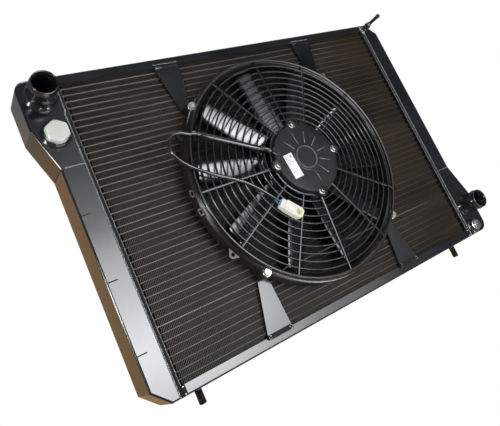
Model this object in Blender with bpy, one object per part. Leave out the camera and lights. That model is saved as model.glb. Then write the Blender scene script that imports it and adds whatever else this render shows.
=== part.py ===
"""Cross-flow car radiator with an electric fan, lying on its back.

All sizes below are in millimetres and become metres when a mesh is built.
X runs along the tubes, Y up the radiator, Z out of the core along the fan.
"""
import math

import bmesh
import bpy

MM = 0.001

# Placement of the core centre, so that the part's own box is centred.
SHIFT_X = -0.42
SHIFT_Y = 4.39

# Core.
CORE_HALF_X = 305.0
CORE_HALF_Y = 215.1
TUBE_COUNT = 43
TUBE_PITCH = 9.91
TUBE_THICK = 2.0
TUBE_Z = (7.5, 50.5)
FIN_Z = (6.0, 49.3)
GAP = 0.3

# Headers, tanks and channels.
DEPTH = 54.0
HEADER_X = (302.3, 308.4)
HEADER_HALF_Y = 228.9
TANK_IN_X = 308.7
TANK_NARROW_X = 341.6
TANK_WIDE_X = 360.2
TANK_SEAM_Y = 95.7
TANK_STEP_Y = 155.3
TANK_END_Y = 228.9
TANK_WALL = 2.0
FOLD_R = 2.5
CHANNEL_IN_Y = 215.1
CHANNEL_OUT_Y = 229.1
CHANNEL_WALL = 2.0
CHANNEL_HALF_X = 302.0

# Spigots, bosses and plugs: centres on the left and right tank faces.
INLET_XY = (-331.2, 201.9)
INLET_R = 17.8
OUTLET_XY = (330.6, -173.1)
OUTLET_R = 16.7
NECK_TOP = 93.0
FILLER_XY = (-330.6, 143.3)
FILLER_AF = 29.0
LOWER_XY = (325.4, -214.0)
TAP_XY = (318.0, 222.0)
TAP_ANGLE = 22.3
TAP_ARM = 45.0
PIN_X = 275.0
PIN_R = 5.0
PIN_LENGTH = 21.5

# Fan.
FAN_XY = (-1.5, -0.5)
GUARD_TURN = -0.8
RIM_R = 182.3
RING_COUNT = 10
RING_STEP = 11.28
RING_WIDTH = 2.4
SPOKE_WIDTH = 3.4
GUARD_THICK = 3.2
GUARD_TOP = 83.0
GUARD_SLOPE = 0.0922
HUB_RING_R = (50.0, 60.0)
BLADE_COUNT = 10
BLADE_PHASE = 24.3
BLADE_TIP_R = 169.0
SHROUD_BASE = 57.0
LUG_XY = 133.5
LUG_R = 189.0

# Motor.
CAN_R = 48.0
COVER_R = 56.5
LOBE_R = 9.4
LOBE_PCD_R = 56.8
COVER_TOP = 101.6
SHAFT_R = 4.0
BEARING_CLEAR = 0.05
GLAND_ANGLE = 155.0

# Lead.
LEAD_R = 2.5
WIRE_R = 0.9
LEAD_OFFSET = 5.0
CONNECTOR_XY = (-68.5, -66.5)
CONNECTOR_ANGLE = -47.5


# ---------------------------------------------------------------- helpers

def clear_scene():
    for item in list(bpy.data.objects):
        bpy.data.objects.remove(item, do_unlink=True)


def make_material(name, colour, metallic, roughness):
    material = bpy.data.materials.new(name)
    material.use_nodes = True
    shader = material.node_tree.nodes["Principled BSDF"]
    shader.inputs["Base Color"].default_value = (*colour, 1.0)
    shader.inputs["Metallic"].default_value = metallic
    shader.inputs["Roughness"].default_value = roughness
    material.diffuse_color = (*colour, 1.0)
    return material


def extrude(outline, axis, low, high):
    """Closed prism of an outline along one axis."""
    place = {
        "x": lambda u, v, w: (w, u, v),
        "y": lambda u, v, w: (v, w, u),
        "z": lambda u, v, w: (u, v, w),
    }[axis]
    count = len(outline)
    verts = [place(u, v, low) for u, v in outline]
    verts += [place(u, v, high) for u, v in outline]
    faces = [tuple(range(count)), tuple(range(count, 2 * count))]
    for i in range(count):
        j = (i + 1) % count
        faces.append((i, j, count + j, count + i))
    return verts, faces


def box(x0, x1, y0, y1, z0, z1):
    return extrude([(x0, y0), (x1, y0), (x1, y1), (x0, y1)], "z", z0, z1)


def circle(cx, cy, radius, count=32, phase=0.0):
    points = []
    for i in range(count):
        angle = math.radians(phase) + 2.0 * math.pi * i / count
        points.append((cx + radius * math.cos(angle), cy + radius * math.sin(angle)))
    return points


def layers(outlines):
    """Closed solid through a stack of outlines given as (z, outline)."""
    count = len(outlines[0][1])
    verts = []
    for z, outline in outlines:
        verts += [(x, y, z) for x, y in outline]
    last = (len(outlines) - 1) * count
    faces = [tuple(range(count)), tuple(range(last, last + count))]
    for layer in range(len(outlines) - 1):
        base = layer * count
        for i in range(count):
            j = (i + 1) % count
            faces.append((base + i, base + j, base + count + j, base + count + i))
    return verts, faces


def lathe(profile, cx, cy, count=40):
    """Solid of revolution about Z from a closed (radius, z) profile off the axis."""
    size = len(profile)
    verts = []
    for i in range(count):
        angle = 2.0 * math.pi * i / count
        for radius, z in profile:
            verts.append((cx + radius * math.cos(angle), cy + radius * math.sin(angle), z))
    faces = []
    for i in range(count):
        a = i * size
        b = ((i + 1) % count) * size
        for j in range(size):
            k = (j + 1) % size
            faces.append((a + j, b + j, b + k, a + k))
    return verts, faces


def turned(profile, cx, cy, count=32):
    """Solid of revolution about Z that reaches the axis at both ends."""
    return layers([(z, circle(cx, cy, radius, count)) for radius, z in profile])


def rotate_xy(shell, angle, cx=0.0, cy=0.0):
    verts, faces = shell
    c = math.cos(math.radians(angle))
    s = math.sin(math.radians(angle))
    moved = []
    for x, y, z in verts:
        dx = x - cx
        dy = y - cy
        moved.append((cx + dx * c - dy * s, cy + dx * s + dy * c, z))
    return moved, faces


def swap_yz(shell, sign=1.0):
    """Turn a solid built along Z so that it runs along Y."""
    verts, faces = shell
    return [(x, sign * z, y) for x, y, z in verts], faces


def offset_outline(points, offsets):
    """Move every edge of a counterclockwise outline inwards by its own amount."""
    count = len(points)
    lines = []
    for i in range(count):
        x0, y0 = points[i]
        x1, y1 = points[(i + 1) % count]
        dx = x1 - x0
        dy = y1 - y0
        length = math.hypot(dx, dy)
        nx = -dy / length
        ny = dx / length
        shift = offsets[i]
        lines.append((x0 + nx * shift, y0 + ny * shift, dx, dy))
    result = []
    for i in range(count):
        ax, ay, adx, ady = lines[i - 1]
        bx, by, bdx, bdy = lines[i]
        cross = adx * bdy - ady * bdx
        if abs(cross) < 1e-9:
            result.append((bx, by))
            continue
        t = ((bx - ax) * bdy - (by - ay) * bdx) / cross
        result.append((ax + adx * t, ay + ady * t))
    return result


def make_object(name, shells, material, at=(0.0, 0.0, 0.0), smooth=None):
    """One mesh object from closed shells, with its origin at a stated point."""
    mesh = bpy.data.meshes.new(name)
    verts = []
    faces = []
    for shell_verts, shell_faces in shells:
        base = len(verts)
        for x, y, z in shell_verts:
            verts.append(((x - at[0]) * MM, (y - at[1]) * MM, (z - at[2]) * MM))
        faces += [tuple(base + i for i in face) for face in shell_faces]
    mesh.from_pydata(verts, [], faces)
    tidy(mesh, smooth)
    item = bpy.data.objects.new(name, mesh)
    item.location = ((at[0] + SHIFT_X) * MM, (at[1] + SHIFT_Y) * MM, at[2] * MM)
    bpy.context.scene.collection.objects.link(item)
    if material is not None:
        mesh.materials.append(material)
    return item


def tidy(mesh, smooth):
    work = bmesh.new()
    work.from_mesh(mesh)
    bmesh.ops.remove_doubles(work, verts=work.verts, dist=1e-7)
    bmesh.ops.recalc_face_normals(work, faces=work.faces)
    work.to_mesh(mesh)
    work.free()
    if smooth:
        for polygon in mesh.polygons:
            polygon.use_smooth = True
        mesh.set_sharp_from_angle(angle=math.radians(smooth))


def combine(target, shells, operation, smooth=None):
    """Join or cut one clean set of shells with an exact boolean and keep the result."""
    at = [target.location[i] / MM for i in range(3)]
    at[0] -= SHIFT_X
    at[1] -= SHIFT_Y
    tool = make_object("tool", shells, None, tuple(at))
    modifier = target.modifiers.new("shape", "BOOLEAN")
    modifier.operation = operation
    modifier.solver = "EXACT"
    modifier.object = tool
    graph = bpy.context.evaluated_depsgraph_get()
    result = bpy.data.meshes.new_from_object(target.evaluated_get(graph))
    result.name = target.name
    target.modifiers.clear()
    target.data = result
    bpy.data.objects.remove(tool, do_unlink=True)
    tidy(result, smooth)
    return target


def half_turn(points):
    return [(-x, -y) for x, y in points]


# ---------------------------------------------------------------- core

def tube_rows():
    middle = (TUBE_COUNT - 1) / 2.0
    return [(i - middle) * TUBE_PITCH for i in range(TUBE_COUNT)]


def build_core(material):
    headers = []
    inner, outer = HEADER_X
    for side in (-1.0, 1.0):
        x0, x1 = sorted((side * inner, side * outer))
        headers.append(box(x0, x1, -HEADER_HALF_Y, HEADER_HALF_Y, GAP, DEPTH))
    core = make_object("core_tubes", headers, material)
    pockets = []
    for side in (-1.0, 1.0):
        x0, x1 = sorted((side * (inner + 2.1), side * (outer + 2.0)))
        half = HEADER_HALF_Y - 2.0
        pockets.append(box(x0, x1, -half, half, 2.4, DEPTH - 2.0))
    combine(core, pockets, "DIFFERENCE")
    half = TUBE_THICK / 2.0
    reach = inner + 3.6
    tubes = []
    for y in tube_rows():
        tubes.append(box(-reach, reach, y - half, y + half, *TUBE_Z))
    combine(core, tubes, "UNION")
    return core


def build_fins(material):
    """Fin rows filling the space between the tubes, tied together behind them."""
    z0, z1 = FIN_Z
    end = CORE_HALF_X - 7.5
    rows = []
    edges = []
    half = TUBE_THICK / 2.0 + GAP
    centres = tube_rows()
    edges.append((-216.4, centres[0] - half))
    for low, high in zip(centres[:-1], centres[1:]):
        edges.append((low + half, high - half))
    edges.append((centres[-1] + half, 216.4))
    for y0, y1 in edges:
        rows.append(box(-end, end, y0, y1, z0, z1))
    fins = make_object("fin_pack", rows, material)
    tie = box(-4.0, 4.0, -216.0, 216.0, z0 - 0.8, z0 + 0.7)
    return combine(fins, [tie], "UNION")


def build_channel(name, side, material):
    wall = CHANNEL_WALL
    inner = CHANNEL_IN_Y
    outer = CHANNEL_OUT_Y
    bend = FOLD_R
    outline = [(inner, GAP), (outer - bend, GAP)]
    outline += [(outer - 0.7, GAP + 0.7), (outer, GAP + bend)]
    outline += [(outer, DEPTH - bend), (outer - 0.7, DEPTH - 0.7), (outer - bend, DEPTH)]
    outline += [(inner, DEPTH), (inner, DEPTH - wall), (outer - wall, DEPTH - wall)]
    outline += [(outer - wall, GAP + wall), (inner, GAP + wall)]
    outline = [(side * y, z) for y, z in outline]
    shell = extrude(outline, "x", -CHANNEL_HALF_X, CHANNEL_HALF_X)
    return make_object(name, [shell], material, smooth=35)


# ---------------------------------------------------------------- tanks

def narrow_outline():
    """Narrow tank section, and which of its edges stay open."""
    points = [
        (-TANK_IN_X, -TANK_END_Y), (-TANK_IN_X, TANK_SEAM_Y - GAP),
        (-TANK_NARROW_X, TANK_SEAM_Y - GAP), (-TANK_NARROW_X - 0.2, -206.7),
        (-320.2, -TANK_END_Y),
    ]
    return points, [True, True, False, False, False]


def wide_outline():
    points = [(-TANK_IN_X, TANK_SEAM_Y), (-TANK_IN_X, TANK_END_Y)]
    opened = [True, False]
    radius = 16.0
    cx = -TANK_WIDE_X + radius
    cy = TANK_END_Y - radius
    for step in range(6):
        angle = math.radians(90.0 + 18.0 * step)
        points.append((cx + radius * math.cos(angle), cy + radius * math.sin(angle)))
        opened.append(False)
    points += [(-TANK_WIDE_X, TANK_STEP_Y), (-TANK_NARROW_X, TANK_SEAM_Y)]
    opened += [False, True]
    return points, opened


def build_tank(name, outline, side, material, holes=(), ribs=()):
    """Folded sheet shell: rounded outer folds, open to the header and to its neighbour."""
    points, opened = outline

    def at_offset(amount, past):
        offsets = [past if free else amount for free in opened]
        return offset_outline(points, offsets)

    def turn(outline_points):
        return outline_points if side < 0 else half_turn(outline_points)

    bend = FOLD_R
    stack = []
    for z, amount in ((0.0, bend), (0.33, 1.25), (1.25, 0.33), (bend, 0.0)):
        stack.append((z, turn(at_offset(amount, 0.0))))
    for z, amount in ((bend, 0.0), (1.25, 0.33), (0.33, 1.25), (0.0, bend)):
        stack.append((DEPTH - z, turn(at_offset(amount, 0.0))))
    tank = make_object(name, [layers(stack)], material, smooth=40)
    wall = TANK_WALL
    cavity = []
    for z, amount in ((wall, wall + 0.8), (wall + 0.8, wall)):
        cavity.append((z, turn(at_offset(amount, -3.0))))
    for z, amount in ((wall + 0.8, wall), (wall, wall + 0.8)):
        cavity.append((DEPTH - z, turn(at_offset(amount, -3.0))))
    combine(tank, [layers(cavity)], "DIFFERENCE", smooth=40)
    if holes:
        cuts = [extrude(circle(x, y, r, 20), "z", DEPTH - 4.0, DEPTH + 4.0) for x, y, r in holes]
        combine(tank, cuts, "DIFFERENCE", smooth=40)
    if ribs:
        bars = []
        for x0, x1, y in ribs:
            section = [(y - 1.6, DEPTH - 0.8), (y + 1.6, DEPTH - 0.8), (y, DEPTH + 0.8)]
            bars.append(extrude(section, "x", x0, x1))
        combine(tank, bars, "UNION", smooth=40)
    return tank


def weld_strip(points, width, z0, z1):
    """Low bead with a scalloped edge along a polyline in the tank's face."""
    verts = []
    for i, (x, y) in enumerate(points):
        x_prev, y_prev = points[max(i - 1, 0)]
        x_next, y_next = points[min(i + 1, len(points) - 1)]
        dx = x_next - x_prev
        dy = y_next - y_prev
        length = math.hypot(dx, dy)
        nx = -dy / length
        ny = dx / length
        half = width * (0.5 if i % 2 else 0.36)
        top = z1 if i % 2 else z1 - 0.35
        verts.append((x - nx * half, y - ny * half, z0))
        verts.append((x - nx * half * 0.5, y - ny * half * 0.5, top))
        verts.append((x + nx * half * 0.5, y + ny * half * 0.5, top))
        verts.append((x + nx * half, y + ny * half, z0))
    faces = [(0, 1, 2, 3)]
    for i in range(len(points) - 1):
        a = 4 * i
        b = a + 4
        for j in range(4):
            k = (j + 1) % 4
            faces.append((a + j, b + j, b + k, a + k))
    end = 4 * (len(points) - 1)
    faces.append((end, end + 1, end + 2, end + 3))
    return verts, faces


def build_weld(name, side, neck_span, material):
    """Header bead, side-stepping the spigot collar, joined to the cross-seam bead."""
    low, high = neck_span
    seam = []
    steps = 26
    for i in range(steps + 1):
        y = -227.0 + 454.0 * i / steps
        x = -TANK_IN_X - 0.1
        if low < y < high:
            x = -TANK_IN_X + 1.6
        seam.append((x, y))
    cross = [(-TANK_IN_X - 0.2 - 28.0 * i / 6.0, TANK_SEAM_Y) for i in range(7)]
    if side > 0:
        seam = half_turn(seam)
        cross = half_turn(cross)
    z0 = DEPTH + GAP
    weld = make_object(name, [weld_strip(seam, 3.0, z0, z0 + 1.2)], material)
    return combine(weld, [weld_strip(cross, 3.4, z0, z0 + 1.1)], "UNION")


# ---------------------------------------------------------------- spigots and plugs

def build_neck(name, centre, radius, collar, material):
    base = DEPTH + GAP
    bore = radius - 2.0
    top = NECK_TOP
    profile = [
        (bore, base), (collar, base), (collar, base + 1.0), (radius + 3.0, base + 3.2),
        (radius, base + 8.0), (radius, top - 10.5), (radius + 1.3, top - 8.3),
        (radius, top - 6.0), (radius, top), (bore, top),
    ]
    return make_object(name, [lathe(profile, *centre, 24)], material, smooth=40)


def hexagon(cx, cy, across_flats, phase=30.0):
    return circle(cx, cy, across_flats / math.sqrt(3.0), 6, phase)


def build_boss(name, centre, outer, inner, height, material):
    base = DEPTH + GAP
    profile = [
        (inner, base), (outer, base), (outer, base + 1.0), (outer - 2.6, base + 2.0),
        (outer - 3.6, base + height), (inner, base + height),
    ]
    return make_object(name, [lathe(profile, *centre, 24)], material, smooth=40)


def build_plug(name, centre, across, flange, shank, base, head, material):
    """Flanged hexagon plug with its threaded shank inside the boss."""
    cx, cy = centre
    shape = [(shank - 1.0, DEPTH - 1.0), (shank, DEPTH), (shank, base)]
    shape += [(flange, base), (flange, base + 1.5)]
    plug = make_object(name, [turned(shape, cx, cy, 24)], material, smooth=40)
    corner = across / math.sqrt(3.0)
    bottom = base + 1.2
    top = bottom + head
    prism = layers([
        (bottom, circle(cx, cy, corner, 6, 30.0)),
        (top - 1.0, circle(cx, cy, corner, 6, 30.0)),
        (top, circle(cx, cy, corner * 0.9, 6, 30.0)),
    ])
    return combine(plug, [prism], "UNION", smooth=35)


def build_tap(body_material, lever_material, screw_material):
    cx, cy = TAP_XY
    base = DEPTH + GAP
    bore = 2.6
    profile = [
        (bore, base + 2.5), (bore, base + 10.0), (5.6, base + 10.0), (6.0, base + 9.2),
        (6.0, base + 7.0), (4.8, base + 6.0), (4.8, base + 2.0), (6.2, base + 1.6),
        (6.2, base),
    ]
    # The bore is blind: the body closes across the axis below it.
    low = [(z, circle(cx, cy, radius, 24)) for radius, z in reversed(profile[2:])]
    make_object("tap_body", [layers(low)], body_material, smooth=40)
    body = bpy.data.objects["tap_body"]
    cut = extrude(circle(cx, cy, bore, 24), "z", base + 2.5, base + 12.0)
    combine(body, [cut], "DIFFERENCE", smooth=40)
    z0 = base + 10.0 + GAP
    z1 = z0 + 3.2
    at = (cx, cy, z0)
    stem = extrude(circle(cx, cy, bore - BEARING_CLEAR, 24), "z", base + 3.0, z0 + 0.5)
    lever = make_object("tap_lever", [stem], lever_material, at, smooth=40)
    hub = extrude(circle(cx, cy, 5.4, 20), "z", z0, z1)
    combine(lever, [hub], "UNION", smooth=40)
    arm = [(2.0, -2.6), (16.0, -3.2), (TAP_ARM - 3.0, -4.0), (TAP_ARM + 0.2, -3.2)]
    arm += [(TAP_ARM + 1.4, 0.0), (TAP_ARM + 0.2, 3.2), (TAP_ARM - 3.0, 4.0)]
    arm += [(16.0, 3.2), (2.0, 2.6)]
    arm = [(cx + u, cy + v) for u, v in arm]
    bar = rotate_xy(extrude(arm, "z", z0, z1), TAP_ANGLE, cx, cy)
    combine(lever, [bar], "UNION", smooth=40)
    eye = extrude(circle(cx + TAP_ARM - 3.6, cy, 1.4, 16), "z", z0 - 2.0, z1 + 2.0)
    combine(lever, [rotate_xy(eye, TAP_ANGLE, cx, cy)], "DIFFERENCE", smooth=40)
    head = [(3.2, z1 + GAP), (3.2, z1 + 1.4), (2.4, z1 + 2.2)]
    make_object("tap_screw", [turned(head, cx, cy, 16)], screw_material, at, smooth=40)


def build_pins(material):
    for name, x in (("locating_pin_left", -PIN_X), ("locating_pin_right", PIN_X)):
        start = CHANNEL_OUT_Y + GAP
        end = start + PIN_LENGTH
        shape = [(7.5, start), (7.5, start + 1.4), (PIN_R, start + 1.8)]
        shape += [(PIN_R, end - 1.2), (PIN_R - 1.2, end)]
        pin = swap_yz(turned(shape, x, 27.0, 20), -1.0)
        make_object(name, [pin], material, smooth=40)


# ---------------------------------------------------------------- straps

STRAPS = {
    "tl": (-136.0, 1.0, -1.0),
    "tr": (138.5, 1.0, 1.0),
    "bl": (-144.0, -1.0, -1.0),
    "br": (134.5, -1.0, 1.0),
}


def build_straps(strap_material, pad_material, bolt_material):
    z0 = DEPTH + GAP
    z1 = z0 + 1.5
    for key, (foot_x, up, across) in STRAPS.items():
        lug_x = FAN_XY[0] + across * LUG_XY
        lug_y = FAN_XY[1] + up * LUG_XY
        wide = 20.8
        slim = 7.8
        outline = [
            (foot_x - wide, up * 218.6), (foot_x - wide, up * 211.0),
            (lug_x - slim, lug_y - up * 1.0), (lug_x - slim * 0.55, lug_y - up * 7.0),
            (lug_x + slim * 0.55, lug_y - up * 7.0), (lug_x + slim, lug_y - up * 1.0),
            (foot_x + wide, up * 211.0), (foot_x + wide, up * 218.6),
        ]
        strap = make_object("fan_strap_" + key, [extrude(outline, "z", z0, z1)], strap_material)
        hole = extrude(circle(lug_x, lug_y, 3.4, 20), "z", z0 - 2.0, z1 + 2.0)
        combine(strap, [hole], "DIFFERENCE")
        build_pad(key, foot_x, up, z1 + GAP, pad_material)
        build_fan_bolt(key, lug_x, lug_y, bolt_material)


def build_pad(key, foot_x, up, base, material):
    """Rounded clamp pad over the strap foot, with a rivet head at each end."""
    half = 22.6
    radius = 3.7
    mid = up * 215.4
    outline = []
    for centre, first in ((half - radius, -90.0), (-half + radius, 90.0)):
        for step in range(5):
            angle = math.radians(first + 45.0 * step)
            outline.append((foot_x + centre + radius * math.cos(angle), mid + radius * math.sin(angle)))
    pad = make_object("strap_pad_" + key, [extrude(outline, "z", base, base + 1.2)], material, smooth=40)
    heads = []
    for side in (-1.0, 1.0):
        x = foot_x + side * (half - radius)
        shape = [(2.6, base + 0.8), (2.6, base + 1.7), (1.7, base + 2.3)]
        heads.append(turned(shape, x, mid, 12))
    return combine(pad, heads, "UNION", smooth=40)


def build_fan_bolt(key, x, y, material):
    """Flanged bolt down through the lug and the strap."""
    seat = 72.0 + GAP
    shape = [(3.0, 52.0), (3.0, seat), (6.4, seat), (6.4, seat + 1.2)]
    bolt = make_object("fan_bolt_" + key, [turned(shape, x, y, 16)], material, smooth=40)
    head = layers([
        (seat + 0.8, circle(x, y, 5.8, 6, 12.0)),
        (seat + 4.6, circle(x, y, 5.8, 6, 12.0)),
        (seat + 5.4, circle(x, y, 5.0, 6, 12.0)),
    ])
    combine(bolt, [head], "UNION", smooth=35)


def lathe_hex(x, y, corner, bore, z0, z1):
    """Hexagon nut with a round bore."""
    count = 12
    verts = []
    for z in (z0, z1):
        for i in range(count):
            angle = 360.0 * i / count
            within = math.radians(angle % 60.0 - 30.0)
            radius = corner * math.cos(math.radians(30.0)) / math.cos(within)
            a = math.radians(angle)
            verts.append((x + radius * math.cos(a), y + radius * math.sin(a), z))
        for i in range(count):
            a = 2.0 * math.pi * i / count
            verts.append((x + bore * math.cos(a), y + bore * math.sin(a), z))
    faces = []
    for i in range(count):
        j = (i + 1) % count
        faces.append((i, j, count + j, count + i))
        faces.append((2 * count + i, 2 * count + j, 3 * count + j, 3 * count + i))
        faces.append((i, j, 2 * count + j, 2 * count + i))
        faces.append((count + i, count + j, 3 * count + j, 3 * count + i))
    return verts, faces


# ---------------------------------------------------------------- fan

def fan_point(radius, angle):
    a = math.radians(angle)
    return FAN_XY[0] + radius * math.cos(a), FAN_XY[1] + radius * math.sin(a)


def guard_height(radius):
    return GUARD_TOP + GUARD_SLOPE * max(0.0, 182.0 - max(radius, 62.0))


def build_shroud(material):
    b = SHROUD_BASE
    profile = [
        (189.0, b), (189.0, 73.5), (184.9, 76.2), (184.9, 79.2), (181.8, 79.2), (175.0, 72.0),
        (175.0, b), (177.4, b), (177.4, 70.8), (182.2, 75.8), (186.6, 72.4), (186.6, b),
    ]
    shroud = make_object("fan_shroud", [lathe(profile, *FAN_XY, 40)], material, smooth=40)
    lugs = []
    for up in (-1.0, 1.0):
        for across in (-1.0, 1.0):
            x = FAN_XY[0] + across * LUG_XY
            y = FAN_XY[1] + up * LUG_XY
            lugs.append(extrude(circle(x, y, 7.4, 12), "z", 56.1, 73.0))
    for angle in (28.5, 151.0, 208.5, 331.0):
        ear = [(187.8, -11.6), (194.0, -6.6), (199.5, -3.0), (199.5, 3.0), (194.0, 6.6), (187.8, 11.6)]
        ear = [(FAN_XY[0] + u, FAN_XY[1] + v) for u, v in ear]
        lugs.append(rotate_xy(extrude(ear, "z", 64.6, 71.0), angle, *FAN_XY))
    for middle in (0.0, 180.0):
        for offset in (-2.4, 2.4):
            clip = [(183.6, -1.6), (190.4, -1.6), (190.4, 1.6), (183.6, 1.6)]
            clip = [(FAN_XY[0] + u, FAN_XY[1] + v) for u, v in clip]
            angle = middle + GUARD_TURN + offset
            lugs.append(rotate_xy(extrude(clip, "z", 66.0, 78.6), angle, *FAN_XY))
    combine(shroud, lugs, "UNION", smooth=40)
    holes = []
    seats = []
    for up in (-1.0, 1.0):
        for across in (-1.0, 1.0):
            x = FAN_XY[0] + across * LUG_XY
            y = FAN_XY[1] + up * LUG_XY
            holes.append(extrude(circle(x, y, 3.5, 10), "z", 54.0, 78.0))
            seats.append(extrude(circle(x, y, 8.2, 16), "z", 71.8, 84.0))
    for angle in (28.5, 151.0, 208.5, 331.0):
        holes.append(extrude(circle(*fan_point(193.4, angle), 3.0, 8), "z", 60.0, 74.0))
    combine(shroud, seats, "DIFFERENCE", smooth=40)
    return combine(shroud, holes, "DIFFERENCE", smooth=40)


def guard_bands():
    """Ring bands from the rim inwards, as (outer radius, inner radius)."""
    bands = [(RIM_R + 1.9, RIM_R - 1.9)]
    for k in range(1, RING_COUNT + 1):
        radius = 182.0 - RING_STEP * k
        bands.append((radius + RING_WIDTH / 2.0, radius - RING_WIDTH / 2.0))
    bands.append((HUB_RING_R[1], HUB_RING_R[0]))
    return bands


def build_guard(material):
    """Rings and spokes as one conical grid with a square bar everywhere."""
    radii = []
    for outer, inner in guard_bands():
        radii += [outer, inner]
    per_sector = 3
    columns = 12 * per_sector

    def corner(radius, column):
        sector, place = divmod(column, per_sector)
        middle = GUARD_TURN + 30.0 * sector
        half = math.degrees(math.asin(SPOKE_WIDTH / 2.0 / radius))
        span = (30.0 - 2.0 * half) / (per_sector - 1)
        angle = middle - half if place == 0 else middle + half + span * (place - 1)
        return fan_point(radius, angle)

    verts = []
    for radius in radii:
        top = guard_height(radius)
        for column in range(columns):
            x, y = corner(radius, column)
            verts.append((x, y, top))
            verts.append((x, y, top - GUARD_THICK))

    def index(row, column, low):
        return 2 * (row * columns + column % columns) + low

    def solid(row, column):
        if row < 0 or row >= len(radii) - 1:
            return False
        return row % 2 == 0 or column % columns % per_sector == 0

    faces = []
    for row in range(len(radii) - 1):
        for column in range(columns):
            if not solid(row, column):
                continue
            for low in (0, 1):
                faces.append((index(row, column, low), index(row, column + 1, low),
                              index(row + 1, column + 1, low), index(row + 1, column, low)))
            if not solid(row - 1, column):
                faces.append((index(row, column, 0), index(row, column + 1, 0),
                              index(row, column + 1, 1), index(row, column, 1)))
            if not solid(row + 1, column):
                faces.append((index(row + 1, column, 0), index(row + 1, column + 1, 0),
                              index(row + 1, column + 1, 1), index(row + 1, column, 1)))
            if not solid(row, column - 1):
                faces.append((index(row, column, 0), index(row + 1, column, 0),
                              index(row + 1, column, 1), index(row, column, 1)))
            if not solid(row, column + 1):
                faces.append((index(row, column + 1, 0), index(row + 1, column + 1, 0),
                              index(row + 1, column + 1, 1), index(row, column + 1, 1)))
    return make_object("fan_guard", [(verts, faces)], material)


def blade(angle):
    """Straight pitched blade, a thin plate from inside the hub wall to the tip."""
    verts = []
    for radius, half_chord, rise in ((60.6, 15.0, 6.2), (115.0, 15.5, 4.3), (BLADE_TIP_R, 14.0, 3.4)):
        for along, up in ((-1.0, -1.0), (0.0, 0.16), (1.0, 1.0)):
            for skin in (-0.9, 0.9):
                v = along * half_chord
                z = 68.0 - up * rise + skin
                reach = math.sqrt(max(radius * radius - v * v, 1.0))
                verts.append((reach, v, z))
    faces = []
    for section in range(2):
        a = 6 * section
        b = a + 6
        for low, high in ((0, 2), (2, 4), (3, 1), (5, 3), (1, 0), (4, 5)):
            faces.append((a + low, a + high, b + high, b + low))
    faces += [(0, 1, 3, 2), (2, 3, 5, 4), (12, 13, 15, 14), (14, 15, 17, 16)]
    moved = [(FAN_XY[0] + x, FAN_XY[1] + y, z) for x, y, z in verts]
    return rotate_xy((moved, faces), angle, *FAN_XY)


def build_impeller(material, metal):
    at = (FAN_XY[0], FAN_XY[1], 68.0)
    profile = [
        (4.3, 58.2), (62.0, 58.2), (62.0, 77.0), (59.4, 77.0), (59.4, 61.6),
        (9.0, 61.6), (9.0, 64.6), (4.3, 64.6),
    ]
    wheel = make_object("impeller", [lathe(profile, *FAN_XY, 32)], material, at, smooth=40)
    blades = [blade(BLADE_PHASE + 360.0 / BLADE_COUNT * i) for i in range(BLADE_COUNT)]
    combine(wheel, blades, "UNION", smooth=40)
    nut = lathe_hex(FAN_XY[0], FAN_XY[1], 7.5, 4.3, 54.4, 57.9)
    make_object("impeller_nut", [nut], metal, at)


def build_motor(plastic, steel, copper):
    cx, cy = FAN_XY
    at = (cx, cy, 68.0)
    can = [
        (45.5, 68.6), (11.0, 68.6), (11.0, 72.0), (8.2, 72.0), (8.2, 66.0),
        (CAN_R, 66.0), (CAN_R, 94.4), (COVER_R - 0.3, 94.4), (COVER_R - 0.3, 96.6), (45.5, 96.6),
    ]
    housing = make_object("motor_housing", [lathe(can, cx, cy, 28)], plastic, smooth=40)
    lobes = []
    holes = []
    for k in range(4):
        x, y = fan_point(LOBE_PCD_R, GUARD_TURN + 90.0 * k)
        lobes.append(extrude(circle(x, y, LOBE_R - 0.3, 12), "z", 94.4, 96.6))
        holes.append(extrude(circle(x, y, 2.5, 10), "z", 92.0, 99.0))
    combine(housing, lobes, "UNION", smooth=40)
    combine(housing, holes, "DIFFERENCE", smooth=40)
    build_cover(plastic)
    for k in range(4):
        x, y = fan_point(LOBE_PCD_R, GUARD_TURN + 90.0 * k)
        seat = COVER_TOP + GAP
        shape = [(2.1, 95.0), (2.1, seat), (4.9, seat), (4.9, seat + 1.4), (3.6, seat + 2.6)]
        screw = make_object("cover_screw_%d" % (k + 1), [turned(shape, x, y, 14)], steel, smooth=40)
        socket = extrude(hexagon(x, y, 3.6), "z", seat + 0.9, seat + 4.0)
        combine(screw, [socket], "DIFFERENCE", smooth=40)
    ring = [(SHAFT_R + BEARING_CLEAR, 0.0), (7.9, 0.0), (7.9, 5.0), (SHAFT_R + BEARING_CLEAR, 5.0)]
    front = [(r, z + 66.6) for r, z in ring]
    rear = [(r, z + 90.2) for r, z in ring]
    make_object("bearing_front", [lathe(front, cx, cy, 24)], steel, smooth=40)
    make_object("bearing_rear", [lathe(rear, cx, cy, 24)], steel, smooth=40)
    shaft = [(SHAFT_R - 0.5, 53.6), (SHAFT_R, 54.1), (SHAFT_R, 94.7), (SHAFT_R - 0.5, 95.2)]
    make_object("motor_shaft", [turned(shaft, cx, cy, 24)], steel, at, smooth=40)
    core = [(4.3, 74.5), (32.0, 74.5), (32.0, 87.0), (14.0, 89.0), (4.3, 89.0)]
    make_object("motor_armature", [lathe(core, cx, cy, 20)], copper, at, smooth=40)


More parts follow.
